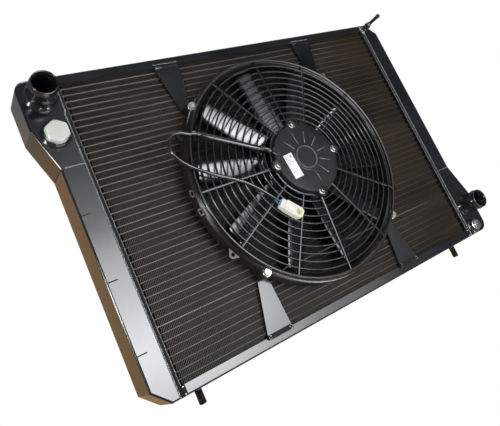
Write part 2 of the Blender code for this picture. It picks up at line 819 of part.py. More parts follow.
def build_cover(material):
    cx, cy = FAN_XY
    z0 = 96.9
    z1 = COVER_TOP
    disc = layers([
        (z0, circle(cx, cy, COVER_R, 40)), (z1 - 1.0, circle(cx, cy, COVER_R, 40)),
        (z1, circle(cx, cy, COVER_R - 1.0, 40)),
    ])
    cover = make_object("motor_cover", [disc], material, smooth=40)
    lobes = []
    for k in range(4):
        x, y = fan_point(LOBE_PCD_R, GUARD_TURN + 90.0 * k)
        lobes.append(layers([
            (z0, circle(x, y, LOBE_R, 16)), (z1 - 1.0, circle(x, y, LOBE_R, 16)),
            (z1, circle(x, y, LOBE_R - 1.0, 16)),
        ]))
    combine(cover, lobes, "UNION", smooth=40)
    extras = [extrude(circle(cx, cy, 12.0, 20), "z", 90.0, z0 + 0.5)]
    ring = [(16.6, z1 - 0.6), (19.4, z1 - 0.6), (18.9, z1 + 1.0), (17.2, z1 + 1.0)]
    extras.append(lathe(ring, cx, cy, 24))
    for k in range(8):
        bar = [(22.5, -0.9), (43.5, -0.9), (43.5, 0.9), (22.5, 0.9)]
        bar = [(cx + u, cy + v) for u, v in bar]
        extras.append(rotate_xy(extrude(bar, "z", z1 - 0.6, z1 + 0.8), 8.7 + 30.5 * (k - 3), cx, cy))
    combine(cover, extras, "UNION", smooth=40)
    cuts = [extrude(circle(cx, cy, 8.2, 20), "z", 88.0, 95.6)]
    for k in range(4):
        x, y = fan_point(LOBE_PCD_R, GUARD_TURN + 90.0 * k)
        cuts.append(extrude(circle(x, y, 2.5, 10), "z", z0 - 2.0, z1 + 2.0))
    notch = [(43.5, -6.3), (70.0, -6.3), (70.0, 6.3), (43.5, 6.3)]
    notch = [(cx + u, cy + v) for u, v in notch]
    cuts.append(rotate_xy(extrude(notch, "z", z0 - 2.0, z1 + 2.0), GLAND_ANGLE, cx, cy))
    return combine(cover, cuts, "DIFFERENCE", smooth=40)


def build_label(material):
    cx, cy = FAN_XY
    x = cx - 31.6
    y = cy - 6.9
    z0 = COVER_TOP + GAP
    plate = box(x - 8.4, x + 8.4, y - 19.8, y + 19.8, z0, z0 + 0.3)
    make_object("motor_label", [rotate_xy(plate, 5.5, x, y)], material)


def build_gland(material):
    cx, cy = FAN_XY
    outline = [(43.9, -5.9), (57.0, -5.9), (60.0, -3.4), (60.0, 3.4), (57.0, 5.9), (43.9, 5.9)]
    outline = [(cx + u, cy + v) for u, v in outline]
    block = rotate_xy(extrude(outline, "z", 96.9, 102.6), GLAND_ANGLE, cx, cy)
    make_object("cable_gland", [block], material)


# ---------------------------------------------------------------- lead

def spoke_side(radius):
    """Point beside the upper left spoke, where the lead is tied."""
    a = math.radians(GUARD_TURN + 150.0)
    x = FAN_XY[0] + radius * math.cos(a) - LEAD_OFFSET * math.sin(a)
    y = FAN_XY[1] + radius * math.sin(a) + LEAD_OFFSET * math.cos(a)
    return x, y


def lead_route():
    """Centre line of the lead from the gland, out to the rim, around and back."""
    lift = LEAD_R + GAP
    gx, gy = fan_point(61.0, GLAND_ANGLE)
    route = [(gx, gy, 99.8)]
    gx, gy = fan_point(66.0, GLAND_ANGLE)
    route.append((gx, gy, 98.4))
    for radius in (76.0, 95.0, 115.0, 135.0, 155.0, 176.0):
        x, y = spoke_side(radius)
        route.append((x, y, guard_height(radius) + lift))
    loop = [
        (-165.2, 87.3), (-174.8, 91.6), (-183.6, 92.9), (-191.4, 91.0), (-197.2, 86.2),
        (-201.2, 79.6), (-202.4, 71.2), (-200.4, 62.4), (-195.8, 54.0), (-188.8, 45.8),
    ]
    for i, (x, y) in enumerate(loop):
        route.append((x, y, GUARD_TOP + lift + 0.3 + 0.6 * math.sin(math.pi * i / 9.0)))
    back = [
        (-177.8, 36.2), (-164.7, 25.6), (-152.2, 16.8), (-139.8, 9.4), (-127.9, 2.0),
        (-117.4, -5.8), (-108.0, -14.4), (-100.0, -22.8), (-92.9, -31.2), (-87.2, -38.6),
        (-83.4, -44.6),
    ]
    for x, y in back:
        radius = math.hypot(x - FAN_XY[0], y - FAN_XY[1])
        route.append((x, y, guard_height(radius) + lift))
    x, y, z = route[-1]
    route[-1] = (x, y, z + 1.4)
    x, y, z = route[-2]
    route[-2] = (x, y, z + 0.5)
    return route


def smooth_route(route, count):
    """Even points along a smooth curve through the route."""
    dense = []
    last = len(route) - 1
    for i in range(last):
        p0 = route[max(i - 1, 0)]
        p1 = route[i]
        p2 = route[i + 1]
        p3 = route[min(i + 2, last)]
        for step in range(16):
            t = step / 16.0
            point = []
            for a, b, c, d in zip(p0, p1, p2, p3):
                value = 2.0 * b + (c - a) * t + (2.0 * a - 5.0 * b + 4.0 * c - d) * t * t
                value += (3.0 * b - a - 3.0 * c + d) * t * t * t
                point.append(0.5 * value)
            dense.append(point)
    dense.append(list(route[-1]))
    lengths = [0.0]
    for a, b in zip(dense[:-1], dense[1:]):
        lengths.append(lengths[-1] + math.dist(a, b))
    result = []
    j = 0
    for i in range(count):
        want = lengths[-1] * i / (count - 1)
        while j < len(dense) - 2 and lengths[j + 1] < want:
            j += 1
        span = lengths[j + 1] - lengths[j]
        t = (want - lengths[j]) / span
        result.append([a + (b - a) * t for a, b in zip(dense[j], dense[j + 1])])
    return result


def build_tube(name, points, radius, material):
    curve = bpy.data.curves.new(name, "CURVE")
    curve.dimensions = "3D"
    curve.bevel_depth = radius * MM
    curve.bevel_resolution = 2
    curve.use_fill_caps = True
    spline = curve.splines.new("POLY")
    spline.points.add(len(points) - 1)
    for slot, (x, y, z) in zip(spline.points, points):
        slot.co = ((x + SHIFT_X) * MM, (y + SHIFT_Y) * MM, z * MM, 1.0)
    item = bpy.data.objects.new(name, curve)
    bpy.context.scene.collection.objects.link(item)
    curve.materials.append(material)
    return item


def connector_point(along, side):
    a = math.radians(CONNECTOR_ANGLE)
    x = CONNECTOR_XY[0] + along * math.cos(a) - side * math.sin(a)
    y = CONNECTOR_XY[1] + along * math.sin(a) + side * math.cos(a)
    return x, y


def build_lead(jacket, blue, tie_material, cream, yellow):
    route = lead_route()
    build_tube("motor_lead", smooth_route(route, 44), LEAD_R, jacket)
    ex, ey, ez = route[-1]
    px, py, _ = route[-2]
    length = math.hypot(ex - px, ey - py)
    dx = (ex - px) / length
    dy = (ey - py) / length
    for name, side in (("lead_wire_a", -1.0), ("lead_wire_b", 1.0)):
        start = (ex + dx * 0.7 - dy * side * 1.2, ey + dy * 0.7 + dx * side * 1.2, ez + 0.1)
        near = connector_point(-19.3 - 3.0, side * 2.6)
        end = connector_point(-19.3, side * 2.6)
        top = 98.6
        mid = (0.5 * (start[0] + near[0]), 0.5 * (start[1] + near[1]), 0.5 * (ez + top) + 0.4)
        wire = [start, mid, (near[0], near[1], top), (end[0], end[1], top)]
        build_tube(name, smooth_route(wire, 8), WIRE_R, blue)
    build_ties(tie_material)
    build_connector(cream, yellow)


def build_ties(material):
    """Cable ties: flat loops around the spoke and the lead beside it."""
    for name, radius in (("cable_tie_outer", 173.0), ("cable_tie_inner", 74.8)):
        top = guard_height(radius)
        low_v = -2.1
        high_v = LEAD_OFFSET + LEAD_R + GAP + 0.1
        low_z = top - GUARD_THICK - GAP - 0.25
        high_z = top + GAP + 2.0 * LEAD_R + GAP + 0.25
        outer = [(low_v - 0.9, low_z - 0.9), (high_v + 0.9, low_z - 0.9)]
        outer += [(high_v + 0.9, high_z + 0.9), (low_v - 0.9, high_z + 0.9)]
        inner = [(low_v, low_z), (high_v, low_z), (high_v, high_z), (low_v, high_z)]
        verts = []
        for u in (radius - 1.0, radius + 1.0):
            verts += [(FAN_XY[0] + u, FAN_XY[1] + v, z) for v, z in outer]
            verts += [(FAN_XY[0] + u, FAN_XY[1] + v, z) for v, z in inner]
        faces = []
        for i in range(4):
            j = (i + 1) % 4
            faces.append((i, j, 4 + j, 4 + i))
            faces.append((8 + i, 8 + j, 12 + j, 12 + i))
            faces.append((i, j, 8 + j, 8 + i))
            faces.append((4 + i, 4 + j, 12 + j, 12 + i))
        loop = rotate_xy((verts, faces), GUARD_TURN + 150.0, *FAN_XY)
        make_object(name, [loop], material)


def build_connector(cream, yellow):
    z0 = 92.6
    z1 = 103.4
    cx, cy = CONNECTOR_XY
    outline = [(-19.0, -7.0), (-12.0, -8.4), (14.0, -8.4), (19.0, -5.0)]
    outline += [(19.0, 5.0), (14.0, 8.4), (-12.0, 8.4), (-19.0, 7.0)]
    outline = [(cx + u, cy + v) for u, v in outline]
    inset = offset_outline(outline, [1.2] * 8)
    block = layers([(z0, inset), (z0 + 1.2, outline), (z1 - 1.2, outline), (z1, inset)])
    housing = make_object("connector_housing", [rotate_xy(block, CONNECTOR_ANGLE, cx, cy)], cream)
    x, y = connector_point(11.0, 0.0)
    pocket = extrude(circle(x, y, 3.6, 14), "z", z1 - 1.6, z1 + 2.0)
    combine(housing, [pocket], "DIFFERENCE")
    seal = [(1.2, z1 - 1.3), (3.3, z1 - 1.3), (3.3, z1 + 0.5), (2.8, z1 + 0.9), (1.2, z1 + 0.9)]
    make_object("connector_seal", [lathe(seal, x, y, 14)], yellow, smooth=40)


# ---------------------------------------------------------------- assembly

def main():
    clear_scene()
    paint = make_material("black_paint", (0.022, 0.025, 0.03), 0.1, 0.32)
    tube = make_material("tube_metal", (0.16, 0.15, 0.14), 0.6, 0.45)
    fin = make_material("fin_metal", (0.03, 0.027, 0.024), 0.5, 0.6)
    weld = make_material("weld_metal", (0.1, 0.1, 0.105), 0.5, 0.35)
    zinc = make_material("zinc", (0.62, 0.63, 0.6), 1.0, 0.3)
    dark_steel = make_material("dark_steel", (0.12, 0.11, 0.1), 1.0, 0.35)
    plastic = make_material("black_plastic", (0.016, 0.017, 0.019), 0.0, 0.4)
    blade_plastic = make_material("blade_plastic", (0.02, 0.021, 0.024), 0.0, 0.22)
    copper = make_material("copper", (0.4, 0.2, 0.1), 1.0, 0.4)
    white = make_material("label_white", (0.85, 0.85, 0.84), 0.0, 0.5)
    jacket = make_material("lead_jacket", (0.012, 0.012, 0.013), 0.0, 0.25)
    blue = make_material("wire_blue", (0.08, 0.22, 0.45), 0.0, 0.4)
    cream = make_material("connector_cream", (0.82, 0.8, 0.74), 0.0, 0.42)
    yellow = make_material("seal_yellow", (0.72, 0.66, 0.2), 0.0, 0.5)

    build_core(tube)
    build_fins(fin)
    build_channel("side_channel_top", 1.0, paint)
    build_channel("side_channel_bottom", -1.0, paint)

    ribs = [(-339.0, -326.0, y) for y in (27.5, -64.0, -160.6)]
    inlet_hole = (*INLET_XY, INLET_R - 1.7)
    filler_hole = (*FILLER_XY, 13.6)
    outlet_hole = (*OUTLET_XY, OUTLET_R - 1.7)
    lower_hole = (*LOWER_XY, 8.0)
    build_tank("tank_left_narrow", narrow_outline(), -1.0, paint, ribs=ribs)
    build_tank("tank_left_wide", wide_outline(), -1.0, paint, holes=(inlet_hole, filler_hole))
    build_tank("tank_right_narrow", narrow_outline(), 1.0, paint)
    build_tank("tank_right_wide", wide_outline(), 1.0, paint, holes=(outlet_hole, lower_hole))
    build_weld("weld_left", -1.0, (176.0, 227.5), weld)
    build_weld("weld_right", 1.0, (300.0, 301.0), weld)

    build_neck("inlet_neck", INLET_XY, INLET_R, 22.3, paint)
    build_neck("outlet_neck", OUTLET_XY, OUTLET_R, 20.0, paint)
    build_boss("filler_boss", FILLER_XY, 20.0, 12.6, 4.2, paint)
    build_plug("filler_plug", FILLER_XY, FILLER_AF, 16.2, 12.2, 58.8, 8.6, zinc)
    build_boss("lower_boss", LOWER_XY, 14.4, 7.2, 5.4, paint)
    build_plug("lower_plug", LOWER_XY, 17.0, 9.8, 6.8, 60.0, 4.6, zinc)
    build_tap(dark_steel, plastic, zinc)
    build_pins(dark_steel)

    build_straps(paint, plastic, zinc)
    build_shroud(plastic)
    build_guard(plastic)
    build_impeller(blade_plastic, dark_steel)
    build_motor(plastic, zinc, copper)
    build_label(white)
    build_gland(plastic)
    build_lead(jacket, blue, plastic, cream, yellow)


main()
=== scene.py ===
"""Visual model of a cross-flow car radiator with an electric fan, lying on its back.

Sizes of the object are in millimetres from the core centre and become metres, in the
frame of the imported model, when a piece is built. The studio around it is in metres.
"""
import math
import random

import bmesh
import bpy
from mathutils import Matrix, Vector


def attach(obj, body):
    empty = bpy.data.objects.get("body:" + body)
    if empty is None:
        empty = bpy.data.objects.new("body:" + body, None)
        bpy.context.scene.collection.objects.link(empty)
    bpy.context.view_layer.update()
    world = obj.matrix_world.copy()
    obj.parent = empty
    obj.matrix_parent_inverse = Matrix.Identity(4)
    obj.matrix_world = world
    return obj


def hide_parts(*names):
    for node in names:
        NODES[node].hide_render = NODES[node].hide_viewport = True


MM = 0.001
SHIFT_X = -0.42
SHIFT_Y = 4.39
FACE_Z = 54.0

TUBE_COUNT = 43
TUBE_PITCH = 9.91
HEADER_X = (302.3, 308.4)
FAN_XY = (-1.5, -0.5)
GUARD_TURN = -0.8
GUARD_TOP = 83.0
GUARD_SLOPE = 0.0922
RING_STEP = 11.28
RING_COUNT = 10
LUG_XY = 133.5
LEAD_R = 2.5
LEAD_OFFSET = 5.0
GLAND_ANGLE = 155.0
COVER_TOP = 101.6
INLET_XY = (-331.2, 201.9)
OUTLET_XY = (330.6, -173.1)
FILLER_XY = (-330.6, 143.3)
LOWER_XY = (325.4, -214.0)
TAP_XY = (318.0, 222.0)
TAP_ANGLE = 22.3
CONNECTOR_XY = (-68.5, -66.5)
CONNECTOR_ANGLE = -47.5
TUBE_HALF = 0.45
FIN_FOLDS = 250
SEAT_Z = FACE_Z + 0.3
INLET_R = 17.8
OUTLET_R = 16.7
NECK_TOP = 93.0
NECK_WALL = 2.0
SPOKE_COUNT = 12
BLADE_COUNT = 10
BLADE_TURN = 24.3
SCREW_CIRCLE = 56.8
LEAD_SPOKE = GUARD_TURN + 150.0
WIRE_R = 0.95
SOFTBOX_Z = 1.45
SOFTBOX_STRENGTH = 13.0
FLOOR_HALF = 60.0

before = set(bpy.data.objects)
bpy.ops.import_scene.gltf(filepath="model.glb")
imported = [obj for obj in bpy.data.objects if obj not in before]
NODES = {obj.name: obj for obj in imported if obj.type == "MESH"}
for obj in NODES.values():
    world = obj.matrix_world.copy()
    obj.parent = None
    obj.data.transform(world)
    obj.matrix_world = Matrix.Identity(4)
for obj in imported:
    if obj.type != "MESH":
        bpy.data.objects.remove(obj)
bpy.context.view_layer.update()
random.seed(7)


def to_world(x, y, z):
    """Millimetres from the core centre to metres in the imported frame."""
    return ((x + SHIFT_X) * MM, (y + SHIFT_Y) * MM, z * MM)


def add_object(name, data):
    item = bpy.data.objects.new(name, data)
    bpy.context.scene.collection.objects.link(item)
    return item


# ---- shader helpers

def map_range(nodes, links, source, low, high, start=0.0, end=1.0):
    span = nodes.new("ShaderNodeMapRange")
    span.inputs["From Min"].default_value = low
    span.inputs["From Max"].default_value = high
    span.inputs["To Min"].default_value = start
    span.inputs["To Max"].default_value = end
    links.new(source, span.inputs["Value"])
    return span.outputs[0]


def colour_ramp(nodes, links, source, stops, interpolation="LINEAR"):
    """Colour along a value, from stops of (place, colour)."""
    ramp = nodes.new("ShaderNodeValToRGB")
    ramp.color_ramp.interpolation = interpolation
    bar = ramp.color_ramp.elements
    while len(bar) < len(stops):
        bar.new(0.5)
    for element, (place, colour) in zip(bar, stops):
        element.position = place
        element.color = (*colour, 1.0)
    links.new(source, ramp.inputs[0])
    return ramp.outputs[0]


def math_node(nodes, links, operation, first, second):
    item = nodes.new("ShaderNodeMath")
    item.operation = operation
    links.new(first, item.inputs[0])
    if isinstance(second, float):
        item.inputs[1].default_value = second
    else:
        links.new(second, item.inputs[1])
    return item.outputs[0]


def noise(nodes, links, place, scale, detail):
    item = nodes.new("ShaderNodeTexNoise")
    item.inputs["Scale"].default_value = scale
    item.inputs["Detail"].default_value = detail
    links.new(place, item.inputs["Vector"])
    return item.outputs["Fac"]


# ---- camera, light, floor


def add_camera():
    data = bpy.data.cameras.new("camera")
    data.sensor_width = 36.0
    data.lens = 40.47
    data.shift_x = -0.0272
    data.shift_y = -0.0922
    data.clip_start = 0.01
    data.clip_end = 50.0
    item = add_object("camera", data)
    forward = Vector((0.56624, 0.18096, -0.80413)).normalized()
    up = Vector((0.25416, 0.88972, 0.37920)).normalized()
    right = forward.cross(up).normalized()
    up = right.cross(forward).normalized()
    place = Matrix((
        (right.x, up.x, -forward.x), (right.y, up.y, -forward.y), (right.z, up.z, -forward.z),
    )).to_4x4()
    place.translation = Vector(to_world(-546.4, -142.9, 759.2))
    item.matrix_world = place
    bpy.context.scene.camera = item


def add_area(name, centre, target, size, power, colour):
    data = bpy.data.lights.new(name, "AREA")
    data.shape = "RECTANGLE"
    data.size = size[0]
    data.size_y = size[1]
    data.energy = power
    data.color = colour
    item = add_object(name, data)
    item.location = centre
    aim = Vector(target) - Vector(centre)
    item.rotation_euler = aim.to_track_quat("-Z", "Y").to_euler()
    return item


def add_lights():
    key = add_area("key_fill", (0.40, -0.30, 1.47), (0.40, -0.30, 0.0), (0.85, 0.76), 12.0, (0.98, 0.99, 1.0))
    key.visible_glossy = False
    add_softbox()
    add_area("left_strip", (-1.5, 0.0, 0.75), (0.0, 0.0, 0.05), (0.14, 1.8), 18.0, (1.0, 0.98, 0.96))
    add_area("front_strip", (0.1, -1.5, 0.7), (0.0, 0.0, 0.05), (1.8, 0.14), 14.0, (0.98, 0.99, 1.0))
    add_area("back_strip", (0.3, 1.6, 1.0), (0.0, 0.0, 0.05), (1.8, 0.1), 8.0, (0.94, 0.97, 1.0))
    world = bpy.data.worlds.new("studio")
    bpy.context.scene.world = world
    world.use_nodes = True
    nodes = world.node_tree.nodes
    links = world.node_tree.links
    ground = nodes["Background"]
    coords = nodes.new("ShaderNodeTexCoord")
    split = nodes.new("ShaderNodeSeparateXYZ")
    links.new(coords.outputs["Generated"], split.inputs[0])
    stops = [(0.0, (0.55, 0.55, 0.55)), (1.0, (0.34, 0.38, 0.45))]
    links.new(colour_ramp(nodes, links, split.outputs["Z"], stops), ground.inputs["Color"])
    ground.inputs["Strength"].default_value = 0.2


def fade(nodes, links, source, low, high, stops):
    """Brightness along one axis, from stops of (place, level)."""
    places = [((place - low) / (high - low), (level, level, level)) for place, level in stops]
    return colour_ramp(nodes, links, map_range(nodes, links, source, low, high), places, "EASE")


def glow_plane(name, corners, z):
    """Flat glowing sheet of the studio, with its own X, Y and Z ready for the colour."""
    mesh = bpy.data.meshes.new(name)
    mesh.from_pydata([(x, y, z) for x, y in corners], [], [(0, 1, 2, 3)])
    item = add_object(name, mesh)
    material = bpy.data.materials.new(name)
    material.use_nodes = True
    nodes = material.node_tree.nodes
    links = material.node_tree.links
    nodes.clear()
    out = nodes.new("ShaderNodeOutputMaterial")
    glow = nodes.new("ShaderNodeEmission")
    links.new(glow.outputs[0], out.inputs["Surface"])
    coords = nodes.new("ShaderNodeTexCoord")
    split = nodes.new("ShaderNodeSeparateXYZ")
    links.new(coords.outputs["Object"], split.inputs[0])
    mesh.materials.append(material)
    return item, nodes, links, glow, split.outputs


def add_softbox():
    """Large overhead softbox whose light falls away to the far side and to the right."""
    x0, x1, y0, y1 = -0.6, 1.9, -0.9, 0.9
    corners = [(x0, y0), (x0, y1), (x1, y1), (x1, y0)]
    item, nodes, links, glow, axes = glow_plane("softbox", corners, SOFTBOX_Z)
    glow.inputs["Color"].default_value = (0.96, 0.98, 1.0, 1.0)
    along = fade(nodes, links, axes["X"], x0, x1,
                 [(-0.4, 0.0), (-0.1, 1.0), (0.35, 1.0), (0.66, 0.55), (0.95, 0.22), (1.5, 0.02), (1.85, 0.0)])
    across = fade(nodes, links, axes["Y"], y0, y1,
                  [(-0.88, 0.0), (-0.6, 0.35), (-0.42, 0.58), (-0.2, 0.88), (0.10, 0.5), (0.37, 0.1), (0.7, 0.02)])
    product = math_node(nodes, links, "MULTIPLY", along, across)
    links.new(math_node(nodes, links, "MULTIPLY", product, SOFTBOX_STRENGTH), glow.inputs["Strength"])
    item.visible_camera = False
    item.visible_diffuse = False
    item.visible_shadow = False


def floor_plane(name, z, colours, scale, strength):
    half = FLOOR_HALF
    corners = [(-half, -half), (half, -half), (half, half), (-half, half)]
    item, nodes, links, glow, axes = glow_plane(name, corners, z)
    glow.inputs["Strength"].default_value = strength
    span = map_range(nodes, links, axes["Y"], *scale)
    links.new(colour_ramp(nodes, links, span, list(zip((0.0, 1.0), colours))), glow.inputs["Color"])
    return item


def add_floor():
    """White paper for the camera, and the warm bench top that the side walls mirror."""
    paper = floor_plane("paper", -0.0006, ((1.0, 1.0, 1.0), (1.01, 1.01, 1.01)), (-2.0, 2.0), 1.0)
    paper.visible_glossy = False
    bench = floor_plane("bench", -0.0012, ((0.48, 0.3, 0.14), (0.24, 0.26, 0.28)), (0.12, 0.23), 0.8)
    bench.visible_camera = False
    bench.visible_diffuse = False
    bench.visible_shadow = False


# ---- materials

def paint_fan_shade(nodes, links, coords, colour, far_painted_shade):
    """Painted shadow of the fan on the front of the core inside its ring, and painted shade with warm light
    towards the far side.
    """
    flat = nodes.new("ShaderNodeVectorMath")
    flat.operation = "MULTIPLY"
    flat.inputs[1].default_value = (1.0, 1.0, 0.0)
    links.new(coords.outputs["Object"], flat.inputs[0])
    away = nodes.new("ShaderNodeVectorMath")
    away.operation = "DISTANCE"
    away.inputs[1].default_value = to_world(FAN_XY[0], FAN_XY[1], 0.0)
    links.new(flat.outputs[0], away.inputs[0])
    # Painted shadow of the fan: inside the fan ring the core front keeps 5 % of its colour, while parts lower than
    # 18 mm keep all of it.
    ring = map_range(nodes, links, away.outputs["Value"], 0.172, 0.186, 0.05, 1.0)
    split = nodes.new("ShaderNodeSeparateXYZ")
    links.new(coords.outputs["Object"], split.inputs[0])
    depth = map_range(nodes, links, split.outputs["Z"], 0.018, 0.03, 1.0, 0.0)
    fan_shade_mask = math_node(nodes, links, "MAXIMUM", ring, depth)
    scale = nodes.new("ShaderNodeVectorMath")
    scale.operation = "SCALE"
    links.new(colour, scale.inputs[0])
    links.new(fan_shade_mask, scale.inputs["Scale"])
    # Painted shade with warm light: from 80 to 260 mm along X the colour is multiplied towards the far tint.
    far = map_range(nodes, links, split.outputs["X"], 0.08, 0.26)
    far_shade_colour = colour_ramp(nodes, links, far, [(0.0, (1.0, 1.0, 1.0)), (1.0, far_painted_shade)])
    tint = nodes.new("ShaderNodeVectorMath")
    tint.operation = "MULTIPLY"
    links.new(scale.outputs[0], tint.inputs[0])
    links.new(far_shade_colour, tint.inputs[1])
    return tint.outputs[0]


def finish(name, low, high, rough, metallic=0.0, grain=500.0, bump=0.05, patch=14.0, rough_spread=0.08,
           coat=0.0, stretch=(1.0, 1.0, 1.0), sheen=0.5, far_painted_shade=None):
    """Two-tone finish: broad patches, fine grain in the bump, and uneven gloss."""
    material = bpy.data.materials.new(name)
    material.use_nodes = True
    nodes = material.node_tree.nodes
    links = material.node_tree.links
    shader = nodes["Principled BSDF"]
    coords = nodes.new("ShaderNodeTexCoord")
    mapping = nodes.new("ShaderNodeMapping")
    mapping.inputs["Scale"].default_value = stretch
    links.new(coords.outputs["Object"], mapping.inputs["Vector"])
    broad = noise(nodes, links, mapping.outputs[0], patch, 6.0)
    fine = noise(nodes, links, mapping.outputs[0], grain, 3.0)
    blend = nodes.new("ShaderNodeMath")
    blend.operation = "MULTIPLY_ADD"
    links.new(fine, blend.inputs[0])
    blend.inputs[1].default_value = 0.3
    links.new(broad, blend.inputs[2])
    colour = colour_ramp(nodes, links, blend.outputs[0], [(0.45, low), (0.85, high)])
    # Painted shade: the fan's shadow on the core front, and painted shade with warm light towards the far side.
    if far_painted_shade:
        colour = paint_fan_shade(nodes, links, coords, colour, far_painted_shade)
    links.new(colour, shader.inputs["Base Color"])
    glossy = max(0.03, rough - rough_spread)
    gloss = map_range(nodes, links, broad, 0.3, 0.7, glossy, rough + rough_spread)
    links.new(gloss, shader.inputs["Roughness"])
    relief = nodes.new("ShaderNodeBump")
    relief.inputs["Strength"].default_value = bump
    relief.inputs["Distance"].default_value = 0.0006
    links.new(fine, relief.inputs["Height"])
    links.new(relief.outputs[0], shader.inputs["Normal"])
    shader.inputs["Metallic"].default_value = metallic
    shader.inputs["Specular IOR Level"].default_value = sheen
    shader.inputs["Coat Weight"].default_value = coat
    shader.inputs["Coat Roughness"].default_value = 0.12
    return material


PAINT = finish("satin_black_paint", (0.005, 0.0055, 0.0065), (0.013, 0.014, 0.017), 0.2, grain=420.0,
               bump=0.06, coat=0.8, sheen=0.6, rough_spread=0.04)
# The same black paint drawn lighter for the collar beads of the necks and the strap folds, a painted highlight on
# these edges.
PAINT_HIGHLIGHT = finish("fold_highlight_paint", (0.01, 0.011, 0.013), (0.03, 0.032, 0.036), 0.2, grain=420.0,
                    bump=0.12, coat=0.8)
BEAD = finish("weld_bead", (0.012, 0.012, 0.013), (0.26, 0.26, 0.26), 0.14, grain=800.0, bump=1.0,
              patch=420.0, coat=1.0, sheen=0.8)
PIN = finish("pin_plate", (0.02, 0.018, 0.016), (0.09, 0.075, 0.06), 0.2, metallic=0.9, grain=600.0,
             bump=0.1, patch=60.0)
# Towards the far side the tube noses turn darker and browner and the fins browner, as painted shade and warm
# light. Inside the fan ring both also get the painted fan shadow.
TUBE = finish("tube_noses", (0.085, 0.079, 0.072), (0.25, 0.23, 0.205), 0.4, metallic=0.2, grain=300.0,
              bump=0.25, patch=10.0, stretch=(1.0, 6.0, 1.0), far_painted_shade=(0.34, 0.3, 0.22))
FIN = finish("fin_strip", (0.015, 0.013, 0.011), (0.056, 0.047, 0.038), 0.5, metallic=0.1, grain=260.0,
             bump=0.2, patch=7.0, stretch=(1.0, 2.5, 1.0), far_painted_shade=(1.0, 0.86, 0.62))
TRAY = finish("header_tray", (0.004, 0.004, 0.005), (0.018, 0.018, 0.02), 0.65, grain=300.0, bump=0.4,
              sheen=0.15)
ZINC = finish("zinc_plate", (0.5, 0.5, 0.48), (0.74, 0.74, 0.71), 0.3, metallic=1.0, grain=700.0,
              bump=0.1, patch=60.0)
BRIGHT = finish("bright_zinc", (0.66, 0.68, 0.65), (0.8, 0.81, 0.77), 0.3, metallic=0.3, grain=900.0,
                bump=0.06, patch=40.0, rough_spread=0.04)
DARK_ZINC = finish("dark_plate", (0.1, 0.096, 0.09), (0.29, 0.283, 0.27), 0.26, metallic=1.0, grain=600.0,
                   bump=0.15, patch=50.0)
GUARD = finish("moulded_guard", (0.005, 0.0052, 0.0058), (0.012, 0.0125, 0.014), 0.22, grain=900.0,
               bump=0.015, patch=20.0, coat=0.5, rough_spread=0.03)
SHROUD = finish("moulded_ring", (0.008, 0.007, 0.0065), (0.022, 0.019, 0.017), 0.22, grain=900.0,
                bump=0.04, patch=12.0)
BOLT = finish("bolt_plate", (0.6, 0.61, 0.6), (0.85, 0.86, 0.84), 0.2, metallic=0.8, grain=900.0,
              bump=0.05, patch=90.0)
PAD = finish("rubber_pad", (0.004, 0.004, 0.0045), (0.012, 0.012, 0.013), 0.6, grain=700.0, bump=0.2,
             sheen=0.2)
# Ring and ribs on the motor cover: far lighter than the black cover, a painted highlight.
RIB_HIGHLIGHT = finish("cover_rib", (0.09, 0.094, 0.102), (0.17, 0.176, 0.188), 0.16, grain=900.0, bump=0.05,
             sheen=0.7)
COVER = finish("textured_cover", (0.007, 0.0075, 0.0085), (0.014, 0.015, 0.017), 0.4, grain=1500.0,
               bump=0.3, patch=30.0, sheen=0.25)
BLADE = finish("blade_plastic", (0.005, 0.0055, 0.0065), (0.012, 0.013, 0.015), 0.16, grain=500.0,
               bump=0.06, patch=18.0, sheen=0.7, coat=0.8)
JACKET = finish("lead_jacket", (0.008, 0.008, 0.009), (0.022, 0.022, 0.025), 0.14, grain=700.0, bump=0.06,
                patch=40.0, coat=0.7)
BLUE = finish("wire_blue", (0.05, 0.16, 0.34), (0.12, 0.3, 0.56), 0.35, grain=500.0, bump=0.05,
              patch=60.0)
CREAM = finish("connector_cream", (0.68, 0.66, 0.58), (0.82, 0.8, 0.74), 0.4, grain=700.0, bump=0.1,
               patch=60.0)
YELLOW = finish("seal_yellow", (0.55, 0.5, 0.1), (0.78, 0.72, 0.22), 0.5, grain=700.0, bump=0.1,
                patch=80.0)
LABEL = finish("label_paper", (0.78, 0.78, 0.77), (0.9, 0.9, 0.89), 0.5, grain=900.0, bump=0.05,
               patch=80.0)
PRINT = finish("label_print", (0.3, 0.3, 0.31), (0.48, 0.48, 0.5), 0.6, grain=900.0, bump=0.05,
               patch=80.0)
COPPER = finish("copper_winding", (0.3, 0.12, 0.06), (0.6, 0.28, 0.15), 0.35, metallic=1.0, grain=400.0,
                bump=0.4, patch=50.0)


# ---- mesh helpers

def loft_faces(rings, count):
    """Faces of a closed skin over rings of points, with both end caps."""
    last = (rings - 1) * count
    faces = [tuple(range(count)), tuple(range(last, last + count))]
    for base in range(0, last, count):
        for i in range(count):
            j = (i + 1) % count
            faces.append((base + i, base + j, base + count + j, base + count + i))
    return faces


def extrude(outline, axis, low, high):
    place = {
        "x": lambda u, v, w: (w, u, v),
        "y": lambda u, v, w: (v, w, u),
        "z": lambda u, v, w: (u, v, w),
    }[axis]
    verts = [place(u, v, low) for u, v in outline] + [place(u, v, high) for u, v in outline]
    return verts, loft_faces(2, len(outline))


def box(x0, x1, y0, y1, z0, z1):
    return extrude([(x0, y0), (x1, y0), (x1, y1), (x0, y1)], "z", z0, z1)


def half_round(count, first=0.0):
    """Cosine and sine of evenly spaced angles over half a turn."""
    angles = [first + math.pi * i / (count - 1) for i in range(count)]
    return [(math.cos(a), math.sin(a)) for a in angles]


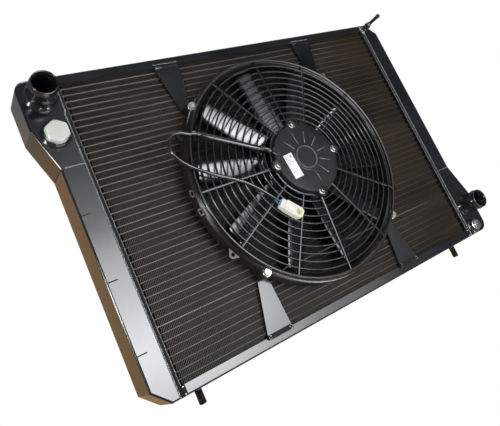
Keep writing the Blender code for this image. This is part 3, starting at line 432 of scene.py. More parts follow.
def circle(cx, cy, radius, count=48, phase=0.0):
    points = []
    for i in range(count):
        a = math.radians(phase) + 2.0 * math.pi * i / count
        points.append((cx + radius * math.cos(a), cy + radius * math.sin(a)))
    return points


def cylinder(x, y, radius, count, low, high):
    return extrude(circle(x, y, radius, count), "z", low, high)


def layers(outlines):
    """Solid through flat outlines, given as (z, points)."""
    verts = [(x, y, z) for z, outline in outlines for x, y in outline]
    return verts, loft_faces(len(outlines), len(outlines[0][1]))


def lathe(profile, cx, cy, count=96):
    """Ring with a closed profile of (radius, z)."""
    size = len(profile)
    verts = []
    for i in range(count):
        a = 2.0 * math.pi * i / count
        for radius, z in profile:
            verts.append((cx + radius * math.cos(a), cy + radius * math.sin(a), z))
    faces = []
    for i in range(count):
        a = i * size
        b = ((i + 1) % count) * size
        for j in range(size):
            k = (j + 1) % size
            faces.append((a + j, b + j, b + k, a + k))
    return verts, faces


def turned(profile, cx, cy, count=48):
    """Solid of revolution with flat ends, from rims of (radius, z)."""
    return layers([(z, circle(cx, cy, radius, count)) for radius, z in profile])


def rotate_xy(shell, angle, cx=0.0, cy=0.0):
    verts, faces = shell
    c = math.cos(math.radians(angle))
    s = math.sin(math.radians(angle))
    moved = [(cx + (x - cx) * c - (y - cy) * s, cy + (x - cx) * s + (y - cy) * c, z) for x, y, z in verts]
    return moved, faces


def around_fan(shell, angle):
    verts, faces = shell
    moved = [(FAN_XY[0] + x, FAN_XY[1] + y, z) for x, y, z in verts]
    return rotate_xy((moved, faces), angle, *FAN_XY)


def fan_point(radius, angle):
    a = math.radians(angle)
    return FAN_XY[0] + radius * math.cos(a), FAN_XY[1] + radius * math.sin(a)


def lug_point(across, up):
    return FAN_XY[0] + across * LUG_XY, FAN_XY[1] + up * LUG_XY


def guard_height(radius):
    """Height of the guard's top face, level at the hub and sloping down to the rim."""
    return GUARD_TOP + GUARD_SLOPE * max(0.0, 182.0 - max(radius, 62.0))


def piece(name, shells, material, body="radiator", replaces=(), smooth=35, bevel=0.0, segments=2):
    """Mesh object from shells in millimetres, on a body, in place of the CAD nodes it replaces."""
    mesh = bpy.data.meshes.new(name)
    verts = []
    faces = []
    for shell_verts, shell_faces in shells:
        base = len(verts)
        verts += [to_world(*v) for v in shell_verts]
        faces += [tuple(base + i for i in face) for face in shell_faces]
    mesh.from_pydata(verts, [], faces)
    clean(mesh, smooth)
    mesh.materials.append(material)
    item = add_object(name, mesh)
    if bevel:
        round_edges(item, bevel, segments)
    if body:
        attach(item, body)
    if replaces:
        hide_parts(*replaces)
    return item


def stand_in(node, shells, material, **options):
    """Detailed piece in place of the one CAD node it is named after."""
    return piece(node + "_visual", shells, material, replaces=(node,), **options)


def round_edges(item, width, segments):
    rounding = item.modifiers.new("rounding", "BEVEL")
    rounding.width = width * MM
    rounding.segments = segments
    rounding.limit_method = "ANGLE"
    rounding.angle_limit = math.radians(40)


def turn_mesh(item, angle, x, y):
    """Turns the mesh of a finished piece about an upright axis."""
    turn = Matrix.Rotation(math.radians(angle), 4, "Z")
    pivot = Vector(to_world(x, y, 0.0))
    item.data.transform(Matrix.Translation(pivot) @ turn @ Matrix.Translation(-pivot))


def clean(mesh, smooth):
    work = bmesh.new()
    work.from_mesh(mesh)
    bmesh.ops.recalc_face_normals(work, faces=work.faces)
    work.to_mesh(mesh)
    work.free()
    if smooth:
        for polygon in mesh.polygons:
            polygon.use_smooth = True
        mesh.set_sharp_from_angle(angle=math.radians(smooth))


def reshape(item, shells, operation, smooth=35):
    """Adds shells to a piece or cuts them out; shells of one call must not overlap."""
    tool = piece("tool", shells, PAINT, body=None)
    modifier = item.modifiers.new("shape", "BOOLEAN")
    modifier.operation = operation
    modifier.solver = "EXACT"
    modifier.object = tool
    graph = bpy.context.evaluated_depsgraph_get()
    result = bpy.data.meshes.new_from_object(item.evaluated_get(graph))
    item.modifiers.clear()
    item.data = result
    bpy.data.objects.remove(tool, do_unlink=True)
    clean(result, smooth)
    return item


# ---- core

def tube_rows():
    middle = (TUBE_COUNT - 1) / 2.0
    return [(i - middle) * TUBE_PITCH for i in range(TUBE_COUNT)]


def build_tubes():
    shells = []
    for y in tube_rows():
        outline = []
        for z, first in ((50.2, 0.0), (8.2, math.pi)):
            outline += [(y + TUBE_HALF * c, z + TUBE_HALF * s) for c, s in half_round(7, first)]
        shells.append(extrude(outline, "x", -303.5, 303.5))
    piece("tube_bank", shells, TUBE, replaces=("core_tubes",), smooth=40)
    trays = []
    for side in (-1.0, 1.0):
        x0, x1 = sorted((side * HEADER_X[0], side * HEADER_X[1]))
        trays.append(box(x0, x1, -228.9, 228.9, 0.3, 54.0))
    piece("header_trays", trays, TRAY, bevel=0.9, segments=3)


def build_fins():
    """One thin leaning strip for each fold of the corrugated fins between the tubes."""
    rows = tube_rows()
    edges = [(-216.0, rows[0] - 0.75)]
    for low, high in zip(rows[:-1], rows[1:]):
        edges.append((low + 0.75, high - 0.75))
    edges.append((rows[-1] + 0.75, 216.0))
    verts = []
    faces = []
    x_start = -298.8
    step = 597.0 / FIN_FOLDS
    half = 0.36
    for y0, y1 in edges:
        phase = random.random() * step
        for i in range(FIN_FOLDS):
            xa = x_start + step * i + phase * 0.5
            xb = xa + step * 0.45
            base = len(verts)
            for x, y in ((xa, y0), (xb, y1)):
                for dx in (-half, half):
                    verts += [(x + dx, y, 6.6), (x + dx, y, 50.0)]
            faces.append((base + 1, base + 3, base + 7, base + 5))
            faces.append((base, base + 2, base + 6, base + 4))
            faces.append((base, base + 1, base + 5, base + 4))
            faces.append((base + 2, base + 3, base + 7, base + 6))
    piece("fin_strips", [(verts, faces)], FIN, replaces=("fin_pack",), smooth=None)


# ---- welds and small sheet details

def bead(points, width, z0, height, seed):
    """Rippled bead of half-round section along a polyline, points about a millimetre apart."""
    source = random.Random(seed)
    dense = []
    for (xa, ya), (xb, yb) in zip(points[:-1], points[1:]):
        length = math.hypot(xb - xa, yb - ya)
        count = max(1, int(length / 0.9))
        for i in range(count):
            t = i / count
            dense.append((xa + (xb - xa) * t, ya + (yb - ya) * t))
    dense.append(points[-1])
    verts = []
    faces = []
    sides = 7
    for i, (x, y) in enumerate(dense):
        xp, yp = dense[max(i - 1, 0)]
        xn, yn = dense[min(i + 1, len(dense) - 1)]
        length = math.hypot(xn - xp, yn - yp)
        nx = -(yn - yp) / length
        ny = (xn - xp) / length
        swell = 0.7 + 0.3 * math.sin(i * 1.9) + source.uniform(-0.12, 0.12)
        for k in range(sides):
            a = math.pi * k / (sides - 1)
            off = math.cos(a) * width * 0.5 * min(swell, 1.0)
            verts.append((x + nx * off, y + ny * off, z0 + math.sin(a) * height * swell))
        if i:
            base = i * sides
            for k in range(sides - 1):
                faces.append((base - sides + k, base - sides + k + 1, base + k + 1, base + k))
    return verts, faces


def build_welds():
    z0 = FACE_Z + 0.1
    headers = {
        "left": (-1.0, 3, [(-307.1, 227.5), (-307.1, 176.0), (-308.8, 170.0), (-308.8, -227.5)]),
        "right": (1.0, 5, [(308.8, 227.5), (308.8, -170.0), (308.8, -227.5)]),
    }
    for name, (side, seed, seam) in headers.items():
        cross = [(side * 310.0, -side * 95.7), (side * 337.6, -side * 95.7)]
        beads = [bead(seam, 3.3, z0, 1.3, seed), bead(cross, 2.6, z0, 0.8, seed + 1)]
        piece("header_bead_" + name, beads, BEAD, replaces=("weld_" + name,), smooth=50)
    for name, side, seed in (("header_lip_left", -1.0, 8), ("header_lip_right", 1.0, 9)):
        lip = [(side * 303.3, 227.5), (side * 303.3, -227.5)]
        piece(name, [bead(lip, 1.3, z0, 0.7, seed)], BEAD, smooth=50)
    # Side seams of the same welds, down the outer wall at each change of width.
    marks = []
    for side in (-1.0, 1.0):
        for z in range(8, 50, 2):
            x = side * 342.0
            y = -side * 95.7
            marks.append(blob(x, y, float(z), 0.55, 1.2, 1.1))
    piece("seam_marks", marks, PAINT, smooth=60)


def blob(x, y, z, rx, ry, rz, sides=10, rings=5):
    verts = [(x, y, z - rz)]
    for j in range(1, rings):
        b = -math.pi / 2.0 + math.pi * j / rings
        level = z + rz * math.sin(b)
        for i in range(sides):
            a = 2.0 * math.pi * i / sides
            verts.append((x + rx * math.cos(b) * math.cos(a), y + ry * math.cos(b) * math.sin(a), level))
    verts.append((x, y, z + rz))
    faces = []
    for i in range(sides):
        j = (i + 1) % sides
        faces.append((0, 1 + j, 1 + i))
        top = len(verts) - 1
        base = 1 + (rings - 2) * sides
        faces.append((top, base + i, base + j))
        for r in range(rings - 2):
            a = 1 + r * sides
            faces.append((a + i, a + j, a + sides + j, a + sides + i))
    return verts, faces


def build_tabs():
    """Folded corner tabs with a soldered dot at each end, and solder around the tap corner."""
    tabs = []
    dots = []
    for x in (-301.2, 302.6):
        tabs.append(box(x - 3.0, x + 3.0, -227.6, -215.2, 54.1, 55.3))
        dots.append(blob(x, -216.8, 55.5, 1.7, 1.2, 0.7))
        dots.append(blob(x, -226.0, 55.5, 1.7, 1.2, 0.7))
    piece("corner_tabs", tabs, TRAY, bevel=0.4)
    source = random.Random(11)
    for i in range(16):
        t = i / 15.0
        x = 303.6 + 8.0 * t + source.uniform(-0.7, 0.7)
        y = 224.6 - 13.0 * abs(math.sin(t * 2.4)) + source.uniform(-0.8, 0.8)
        spread = [source.uniform(*limits) for limits in ((1.0, 2.0), (0.9, 1.6), (0.6, 1.2))]
        dots.append(blob(x, y, 54.4, *spread))
    for cx, cy in ((-304.5, 224.5), (-303.8, 219.0), (-302.6, 226.6), (304.5, -224.5)):
        dots.append(blob(cx, cy, 54.4, 1.8, 1.3, 0.8))
    piece("solder_dots", dots, ZINC, smooth=60)


# ---- spigots, plugs, tap, pins

def build_neck(name, centre, radius, collar):
    """Hose spigot with a flared collar and a rolled bead below its mouth."""
    base = SEAT_Z
    top = NECK_TOP
    bore = radius - NECK_WALL
    profile = [(bore, base), (collar, base), (collar + 0.2, base + 0.5), (collar - 0.2, base + 1.0)]
    profile += [(radius + 2.6, base + 2.6), (radius + 1.0, base + 4.6), (radius + 0.2, base + 7.4)]
    profile += [(radius, base + 10.0), (radius, top - 11.0), (radius + 0.8, top - 10.0)]
    profile += [(radius + 1.3, top - 8.6), (radius + 0.8, top - 7.2), (radius, top - 6.2)]
    profile += [(radius, top - 0.8), (radius - 0.3, top - 0.2), (radius - 0.8, top)]
    profile += [(bore + 0.5, top), (bore, top - 0.5)]
    stand_in(name, [lathe(profile, *centre, 72)], PAINT, smooth=50)
    # The collar bead takes the lighter paint, a painted highlight.
    ring = [(collar + 0.3, base), (collar + 0.3, base + 0.9), (collar - 0.9, base + 1.7)]
    ring += [(collar - 1.6, base + 1.2)]
    piece(name + "_bead", [lathe(ring, *centre, 72)], PAINT_HIGHLIGHT, smooth=60)


def build_boss(name, centre, outer, inner, height):
    base = SEAT_Z
    profile = [(inner, base), (outer, base), (outer + 0.1, base + 0.5), (outer - 0.6, base + 1.1)]
    profile += [(outer - 2.4, base + 1.9), (outer - 3.1, base + 3.0), (outer - 3.6, base + height)]
    profile += [(inner, base + height)]
    stand_in(name, [lathe(profile, *centre, 64)], PAINT, smooth=50)


def build_filler_plug():
    cx, cy = FILLER_XY
    base = 58.8
    flange = [(12.0, 53.2), (12.0, base), (15.9, base), (16.2, base + 0.3), (16.2, base + 1.2)]
    flange += [(15.7, base + 1.7)]
    piece("filler_plug_flange", [turned(flange, cx, cy, 64)], DARK_ZINC, smooth=50)
    head = hex_head(cx, cy, 29.0, base + 1.6, 8.2, 30.0)
    piece("filler_plug_head", [head], BRIGHT, replaces=("filler_plug",), smooth=30, bevel=0.35)


def hex_head(cx, cy, across, base, height, phase):
    """Hexagon with its top corners turned down to a circle."""
    corner = across / math.sqrt(3.0)
    count = 48
    verts = []

    def rim(scale, round_r, z):
        for i in range(count):
            angle = 360.0 * i / count
            within = math.radians(angle % 60.0 - 30.0)
            flat = across / 2.0 / math.cos(within) * scale
            radius = min(flat, round_r)
            a = math.radians(angle + phase)
            verts.append((cx + radius * math.cos(a), cy + radius * math.sin(a), z))

    rim(1.0, corner, base)
    rim(1.0, corner, base + height - 1.6)
    rim(1.0, corner * 0.955, base + height - 0.7)
    rim(0.985, corner * 0.88, base + height)
    faces = loft_faces(4, count)
    faces.append(faces.pop(1))
    return verts, faces


def build_lower_plug():
    cx, cy = LOWER_XY
    base = 60.0
    shape = [(6.6, 53.2), (6.6, base), (9.5, base), (9.8, base + 0.4), (9.8, base + 1.3), (9.2, base + 1.7)]
    shape += [(8.4, base + 1.9), (8.4, base + 4.6), (7.8, base + 5.5), (6.6, base + 5.8)]
    plug = stand_in("lower_plug", [turned(shape, cx, cy, 56)], ZINC, smooth=40)
    slot = rotate_xy(box(cx - 12.0, cx + 12.0, cy - 0.9, cy + 0.9, base + 4.4, base + 8.0), 35.0, cx, cy)
    reshape(plug, [slot], "DIFFERENCE")


def build_tap():
    cx, cy = TAP_XY
    base = SEAT_Z
    profile = [(6.2, base), (6.2, base + 1.5), (4.9, base + 2.0), (4.8, base + 6.0), (6.0, base + 6.8)]
    profile += [(6.1, base + 8.9), (5.6, base + 10.0)]
    stand_in("tap_body", [turned(profile, cx, cy, 48)], DARK_ZINC, smooth=40)
    z0 = base + 10.3
    arm = [(-4.6, -2.6), (-2.0, -5.0), (2.4, -4.6), (6.0, -3.0), (16.0, -3.1), (34.0, -3.4), (41.4, -4.0)]
    arm += [(45.0, -3.2), (46.0, -1.2), (46.0, 1.2), (45.0, 3.2), (41.4, 4.0), (34.0, 3.4), (16.0, 3.1)]
    arm += [(6.0, 3.0), (2.4, 4.6), (-2.0, 5.0), (-4.6, 2.6)]
    arm = [(cx + u, cy + v) for u, v in arm]
    lever = stand_in("tap_lever", [extrude(arm, "z", z0, z0 + 3.1)], BLADE, body="lever")
    eye = cylinder(cx + 41.4, cy, 1.5, 24, z0 - 2.0, z0 + 6.0)
    groove = [(cx + 8.0, cy - 1.3), (cx + 37.0, cy - 1.6), (cx + 37.0, cy + 1.6), (cx + 8.0, cy + 1.3)]
    channel = extrude(groove, "z", z0 + 2.3, z0 + 6.0)
    reshape(lever, [eye, channel], "DIFFERENCE")
    turn_mesh(lever, TAP_ANGLE, cx, cy)
    round_edges(lever, 0.4, 2)
    head = [(2.4, z0 + 3.0), (3.2, z0 + 3.3), (3.2, z0 + 4.5), (2.6, z0 + 5.2)]
    screw = stand_in("tap_screw", [turned(head, cx, cy, 32)], ZINC, body="lever")
    slot = box(cx - 4.0, cx + 4.0, cy - 0.45, cy + 0.45, z0 + 4.5, z0 + 7.0)
    reshape(screw, [slot], "DIFFERENCE")


def build_pins():
    for name, x in (("locating_pin_left", -275.0), ("locating_pin_right", 275.0)):
        start = 229.4
        end = start + 21.5
        shape = [(7.4, start), (7.5, start + 0.5), (7.2, start + 1.2), (5.6, start + 1.9)]
        shape += [(5.0, start + 2.8)]
        shape += [(5.0, end - 1.6), (4.7, end - 0.7), (4.0, end - 0.1), (3.4, end)]
        verts, faces = turned(shape, x, 27.0, 48)
        verts = [(px, -pz, py) for px, py, pz in verts]
        stand_in(name, [(verts, faces)], PIN, smooth=45)


# ---- straps

STRAPS = {
    "tl": (-136.0, 1.0, -1.0),
    "tr": (138.5, 1.0, 1.0),
    "bl": (-144.0, -1.0, -1.0),
    "br": (134.5, -1.0, 1.0),
}


def build_straps():
    for key, (foot_x, up, across) in STRAPS.items():
        z1 = 56.1
        if up > 0:
            marks = []
            source = random.Random(ord(key[1]))
            for i in range(22):
                t = i / 21.0
                x = foot_x - 20.0 + 40.0 * t + source.uniform(-0.5, 0.5)
                y = 218.3 + source.uniform(-0.4, 0.4)
                marks.append(blob(x, y, z1 - 0.3, 1.2, 0.9, 0.6 * source.uniform(0.6, 1.2)))
            for i in range(9):
                x = foot_x - 19.0 + source.uniform(0.0, 9.0)
                marks.append(blob(x, 213.5 + source.uniform(-1.5, 1.5), z1 - 0.3, 0.8, 0.6, 0.45))
            piece("strap_weld_" + key, marks, BEAD, replaces=("strap_pad_" + key,), smooth=60)
            # A thin bar along the strap's fold in the lighter paint, a painted highlight.
            fold = [(211.4, z1 - 0.3), (212.6, z1 - 0.3), (212.0, z1 + 0.35)]
            bar = extrude(fold, "x", foot_x - 19.5, foot_x + 19.5)
            piece("strap_fold_" + key, [bar], PAINT_HIGHLIGHT, smooth=60)
            continue
        half = 22.4
        mid = up * 215.4
        outline = []
        for centre, first in ((half - 3.5, -90.0), (-half + 3.5, 90.0)):
            for step in range(13):
                a = math.radians(first + 15.0 * step)
                outline.append((foot_x + centre + 3.5 * math.cos(a), mid + 3.5 * math.sin(a)))
        stand_in("strap_pad_" + key, [extrude(outline, "z", z1, z1 + 1.2)], PAD, bevel=0.4)
        ring = [(1.5, z1 + 1.1), (3.0, z1 + 1.1), (3.0, z1 + 1.7), (2.4, z1 + 2.2), (1.5, z1 + 1.6)]
        rivets = [lathe(ring, foot_x - half + 3.9, mid, 32), lathe(ring, foot_x + half - 3.9, mid, 32)]
        piece("strap_rivets_" + key, rivets, DARK_ZINC, smooth=50)
    for up, row in ((1.0, ("tl", "tr")), (-1.0, ("bl", "br"))):
        for key, across in zip(row, (-1.0, 1.0)):
            x, y = lug_point(across, up)
            seat = 72.3
            washer = [(3.0, seat), (6.3, seat), (6.4, seat + 0.3), (6.4, seat + 1.1), (6.0, seat + 1.4)]
            washer.append((3.0, seat + 1.4))
            head = hex_head(x, y, 10.0, seat + 1.3, 4.0, 12.0)
            shank = turned([(2.9, 52.2), (2.9, seat + 0.5)], x, y, 24)
            stand_in("fan_bolt_" + key, [lathe(washer, x, y, 40), head, shank], BOLT, smooth=35)


# ---- fan

def build_shroud():
    b = 57.0
    profile = [(188.6, b), (189.0, b + 0.4), (189.0, 73.0), (188.6, 74.0), (185.4, 75.9), (184.9, 76.6)]
    profile += [(184.9, 78.7), (184.5, 79.2), (182.0, 79.2), (179.0, 77.2), (176.4, 74.6), (175.0, 72.0)]
    profile += [(175.0, b + 0.3), (175.3, b), (177.4, b), (177.4, 70.8), (182.2, 75.8), (186.6, 72.4)]
    profile += [(186.6, b)]
    shroud = piece("shroud_visual", [lathe(profile, *FAN_XY, 180)], SHROUD, replaces=("fan_shroud",))
    lugs = []
    seats = []
    holes = []
    for up in (-1.0, 1.0):
        for across in (-1.0, 1.0):
            x, y = lug_point(across, up)
            lugs.append(cylinder(x, y, 7.4, 40, 56.1, 73.0))
            seats.append(cylinder(x, y, 8.2, 40, 71.8, 84.0))
            holes.append(cylinder(x, y, 3.5, 24, 54.0, 78.0))
    ears = []
    for angle in (28.5, 151.0, 208.5, 331.0):
        ear = [(187.8, -11.6), (194.0, -6.6), (198.6, -3.6), (199.5, -2.0), (199.5, 2.0)]
        ear += [(198.6, 3.6), (194.0, 6.6), (187.8, 11.6)]
        ears.append(around_fan(extrude(ear, "z", 64.6, 71.0), angle))
        holes.append(cylinder(*fan_point(193.4, angle), 3.0, 24, 60.0, 74.0))
    clips = []
    for offset in (-2.4, 2.4):
        clip = [(185.8, -1.6), (190.4, -1.6), (190.4, 1.6), (185.8, 1.6)]
        clips.append(around_fan(extrude(clip, "z", 66.0, 73.4), GUARD_TURN + offset))
    windows = []
    for angle in (178.0, 186.5):
        plate = [(187.6, -5.2), (193.6, -5.2), (194.6, -4.2), (194.6, 4.2), (193.6, 5.2), (187.6, 5.2)]
        clips.append(around_fan(extrude(plate, "z", 66.0, 74.0), angle))
        window = [(189.4, -2.9), (193.0, -2.9), (193.0, 2.9), (189.4, 2.9)]
        windows.append(around_fan(extrude(window, "z", 60.0, 84.0), angle))
    for tool in (lugs, ears, clips):
        reshape(shroud, tool, "UNION")
    for tool in (seats, holes, windows):
        reshape(shroud, tool, "DIFFERENCE")


def ring_section(radius, half, top, thick, count=9):
    """Round-topped bar section for a ring of the guard."""
    low = top - thick
    points = [(radius + half * c, top - half + half * s) for c, s in half_round(count)]
    points += [(radius - half, low + 0.4), (radius - half + 0.4, low)]
    points += [(radius + half - 0.4, low), (radius + half, low + 0.4)]
    return points


def build_guard():
    shells = []
    for k in range(1, RING_COUNT + 1):
        radius = 182.0 - RING_STEP * k
        shells.append(lathe(ring_section(radius, 1.2, guard_height(radius), 3.2), *FAN_XY, 144))
    rim = [(184.2, 80.3), (184.2, 82.2), (183.6, 82.9), (182.6, 83.1), (181.2, 83.0), (180.4, 82.4)]
    rim += [(180.4, 80.3)]
    rim += [(180.8, 79.8), (183.8, 79.8)]
    shells.append(lathe(rim, *FAN_XY, 180))
    top = guard_height(62.0)
    hub = [(60.6, top - 2.8), (60.6, top - 0.6), (60.0, top - 0.1), (58.4, top), (56.4, top - 0.2)]
    hub += [(50.6, top - 0.4)]
    hub += [(50.0, top - 0.9), (50.0, top - 3.2), (60.0, top - 3.2)]
    shells.append(lathe(hub, *FAN_XY, 144))
    for k in range(SPOKE_COUNT):
        shells.append(around_fan(spoke(), GUARD_TURN + 360.0 / SPOKE_COUNT * k))
    piece("guard_visual", shells, GUARD, replaces=("fan_guard",), smooth=45)


def spoke():
    """Radial bar with a rounded, slightly raised top."""
    verts = []
    stations = [56.0, 64.0, 80.0, 100.0, 120.0, 140.0, 160.0, 174.0, 181.0]
    for radius in stations:
        top = guard_height(radius) + 0.15
        verts += [(radius, 1.7 * c, top - 0.9 + 0.9 * s) for c, s in half_round(7)]
        verts.append((radius, -1.7, top - 3.3))
        verts.append((radius, 1.7, top - 3.3))
    return verts, loft_faces(len(stations), 9)


def blade():
    """Twisted blade along X, with its chord and rise at each radius."""
    verts = []
    stations = [60.8, 75.0, 95.0, 115.0, 135.0, 152.0, 163.0, 168.0, 169.0]
    chord = [15.0, 15.3, 15.5, 15.5, 15.2, 14.8, 14.4, 13.6, 12.4]
    rise = [6.2, 5.6, 4.9, 4.3, 3.9, 3.6, 3.5, 3.4, 3.2]
    count = 12
    for radius, half, up in zip(stations, chord, rise):
        for side in (1.0, -1.0):
            for i in range(count):
                t = -1.0 + 2.0 * i / (count - 1)
                if side < 0:
                    t = -t
                skin = 0.9 * math.sqrt(max(0.02, 1.0 - abs(t) ** 5))
                v = t * half
                z = 68.0 - up * t + 1.0 * (1.0 - t * t) + side * skin
                reach = math.sqrt(max(radius * radius - v * v, 1.0))
                verts.append((reach, v, z))
    return verts, loft_faces(len(stations), 2 * count)


def build_impeller():
    profile = [(4.3, 58.2), (61.4, 58.2), (62.0, 58.8), (62.0, 76.4), (61.4, 77.0), (60.0, 77.0)]
    profile += [(59.4, 76.4)]
    profile += [(59.4, 61.6), (9.0, 61.6), (9.0, 64.6), (4.3, 64.6)]
    shells = [lathe(profile, *FAN_XY, 96)]
    for i in range(BLADE_COUNT):
        shells.append(around_fan(blade(), BLADE_TURN + 360.0 / BLADE_COUNT * i))
    piece("impeller_visual", shells, BLADE, body="rotor", replaces=("impeller",), smooth=45)


def build_motor():
    cx, cy = FAN_XY
    screws = [fan_point(SCREW_CIRCLE, GUARD_TURN + 90.0 * k) for k in range(4)]
    can = [(45.5, 68.6), (11.0, 68.6), (11.0, 72.0), (8.2, 72.0), (8.2, 66.0), (47.4, 66.0), (48.0, 66.6)]
    can += [(48.0, 94.4), (56.2, 94.4), (56.2, 96.6), (45.5, 96.6)]
    shells = [lathe(can, cx, cy, 96)]
    housing = piece("housing_visual", shells, SHROUD, replaces=("motor_housing",))
    lobes = []
    for x, y in screws:
        lobes.append(cylinder(x, y, 9.1, 40, 94.4, 96.6))
    reshape(housing, lobes, "UNION")
    z0 = 96.9
    z1 = COVER_TOP

    def puck(x, y, radius, count):
        rims = [(z0, radius - 0.3), (z0 + 0.3, radius), (z1 - 1.1, radius), (z1 - 0.5, radius - 0.15)]
        rims += [(z1 - 0.15, radius - 0.5), (z1, radius - 1.1)]
        return layers([(z, circle(x, y, r, count)) for z, r in rims])

    cover = piece("cover_visual", [puck(cx, cy, 56.5, 128)], COVER, replaces=("motor_cover",))
    lobes = []
    for x, y in screws:
        lobes.append(puck(x, y, 9.4, 48))
    lobes.append(turned([(11.8, 90.2), (12.0, z0 + 0.5)], cx, cy, 48))
    reshape(cover, lobes, "UNION")
    # The ring and ribs take the lighter rib finish, a painted highlight.
    ring = [(16.8, z1 - 0.6), (19.2, z1 - 0.6), (19.2, z1 + 0.4), (18.8, z1 + 0.9), (17.2, z1 + 0.9)]
    ring += [(16.8, z1 + 0.4)]
    details = [lathe(ring, cx, cy, 72)]
    for k in range(8):
        details.append(around_fan(rib(22.9, 43.5), 8.7 + 30.5 * (k - 3)))
    details.append(arc_rib(21.6, 150.0, 262.0))
    piece("cover_ribs", details, RIB_HIGHLIGHT, smooth=50)
    notch = [(43.5, -6.3), (70.0, -6.3), (70.0, 6.3), (43.5, 6.3)]
    cuts = [around_fan(extrude(notch, "z", z0 - 2.0, z1 + 2.0), GLAND_ANGLE)]
    for x, y in screws:
        cuts.append(cylinder(x, y, 6.2, 40, z1 - 0.5, z1 + 2.0))
    cuts.append(cylinder(cx, cy, 8.2, 48, 86.0, 95.6))
    reshape(cover, cuts, "DIFFERENCE")
    seat = z1 + 0.3
    for k, (x, y) in enumerate(screws):
        shape = [(2.1, 95.0), (2.1, seat), (4.7, seat), (4.9, seat + 0.3), (4.9, seat + 1.2)]
        shape += [(4.5, seat + 2.0)]
        shape += [(3.4, seat + 2.6)]
        screw = stand_in("cover_screw_%d" % (k + 1), [turned(shape, x, y, 36)], DARK_ZINC, smooth=50)
        rim = [(4.9, seat), (6.6, seat - 0.6), (6.6, seat - 0.1), (5.4, seat + 0.3), (5.0, seat + 0.3)]
        piece("cover_washer_%d" % (k + 1), [lathe(rim, x, y, 36)], DARK_ZINC, smooth=50)
        cross = []
        for angle in (20.0, 110.0):
            bar = box(x - 2.3, x + 2.3, y - 0.5, y + 0.5, seat + 1.2, seat + 5.0)
            cross.append(rotate_xy(bar, angle + 13.0 * k, x, y))
        reshape(screw, [cross[0]], "DIFFERENCE", smooth=50)
        reshape(screw, [cross[1]], "DIFFERENCE", smooth=50)
    block = [(43.9, -5.9), (56.0, -5.9), (59.0, -5.0), (60.0, -3.2), (60.0, 3.2), (59.0, 5.0)]
    block += [(56.0, 5.9), (43.9, 5.9)]
    piece("gland_visual", [around_fan(extrude(block, "z", 96.9, 102.6), GLAND_ANGLE)], GUARD,
          replaces=("cable_gland",), bevel=0.9, segments=3)
    x = cx - 31.6
    y = cy - 6.9
    z = 102.2
    lines = []
    for v, length in ((15.4, 5.0), (12.8, 4.0), (10.2, 9.0), (6.4, 12.0), (3.8, 8.0), (-10.0, 7.0)):
        bar = box(x - 6.6, x - 6.6 + length, y + v - 0.4, y + v + 0.4, z, z + 0.06)
        lines.append(rotate_xy(bar, 5.5, x, y))
    lines.append(rotate_xy(box(x + 1.6, x + 6.0, y + 12.4, y + 16.6, z, z + 0.06), 5.5, x, y))
    piece("label_lines", lines, PRINT, smooth=None)


def rib(start, end):
    """Low round-topped rib along X, in the fan's own place."""
    verts = []
    stations = [(start, 0.3), (start + 0.8, 0.9), (end - 0.8, 0.9), (end, 0.3)]
    for radius, scale in stations:
        verts += [(radius, scale * c, COVER_TOP - 0.5 + 1.5 * scale * s) for c, s in half_round(7)]
    return verts, loft_faces(len(stations), 7)


def arc_rib(radius, first, last):
    verts = []
    count = 24
    for k in range(count + 1):
        a = math.radians(first + (last - first) * k / count)
        for c, s in half_round(5):
            r = radius + 0.8 * c
            z = COVER_TOP - 0.5 + 1.2 * s
            verts.append((FAN_XY[0] + r * math.cos(a), FAN_XY[1] + r * math.sin(a), z))
    return verts, loft_faces(count + 1, 5)


# ---- lead

def spoke_side(radius):
    a = math.radians(LEAD_SPOKE)
    x = FAN_XY[0] + radius * math.cos(a) - LEAD_OFFSET * math.sin(a)
    y = FAN_XY[1] + radius * math.sin(a) + LEAD_OFFSET * math.cos(a)
    return x, y


def lead_route():
    lift = LEAD_R + 0.3
    gx, gy = fan_point(61.0, GLAND_ANGLE)
    route = [(gx, gy, 99.8)]
    gx, gy = fan_point(66.0, GLAND_ANGLE)
    route.append((gx, gy, 98.4))
    for radius in (76.0, 95.0, 115.0, 135.0, 155.0, 176.0):
        x, y = spoke_side(radius)
        route.append((x, y, guard_height(radius) + lift))
    loop = [
        (-165.2, 87.3), (-174.8, 91.6), (-183.6, 92.9), (-191.4, 91.0), (-197.2, 86.2),
        (-201.2, 79.6), (-202.4, 71.2), (-200.4, 62.4), (-195.8, 54.0), (-188.8, 45.8),
    ]
    for i, (x, y) in enumerate(loop):
        route.append((x, y, GUARD_TOP + lift + 0.3 + 0.6 * math.sin(math.pi * i / 9.0)))
    back = [
        (-177.8, 36.2), (-164.7, 25.6), (-152.2, 16.8), (-139.8, 9.4), (-127.9, 2.0),
        (-117.4, -5.8), (-108.0, -14.4), (-100.0, -22.8), (-92.9, -31.2), (-87.2, -38.6),
        (-83.4, -44.6),
    ]
    for x, y in back:
        radius = math.hypot(x - FAN_XY[0], y - FAN_XY[1])
        route.append((x, y, guard_height(radius) + lift))
    x, y, z = route[-1]
    route[-1] = (x, y, z + 1.4)
    x, y, z = route[-2]
    route[-2] = (x, y, z + 0.5)
    return route


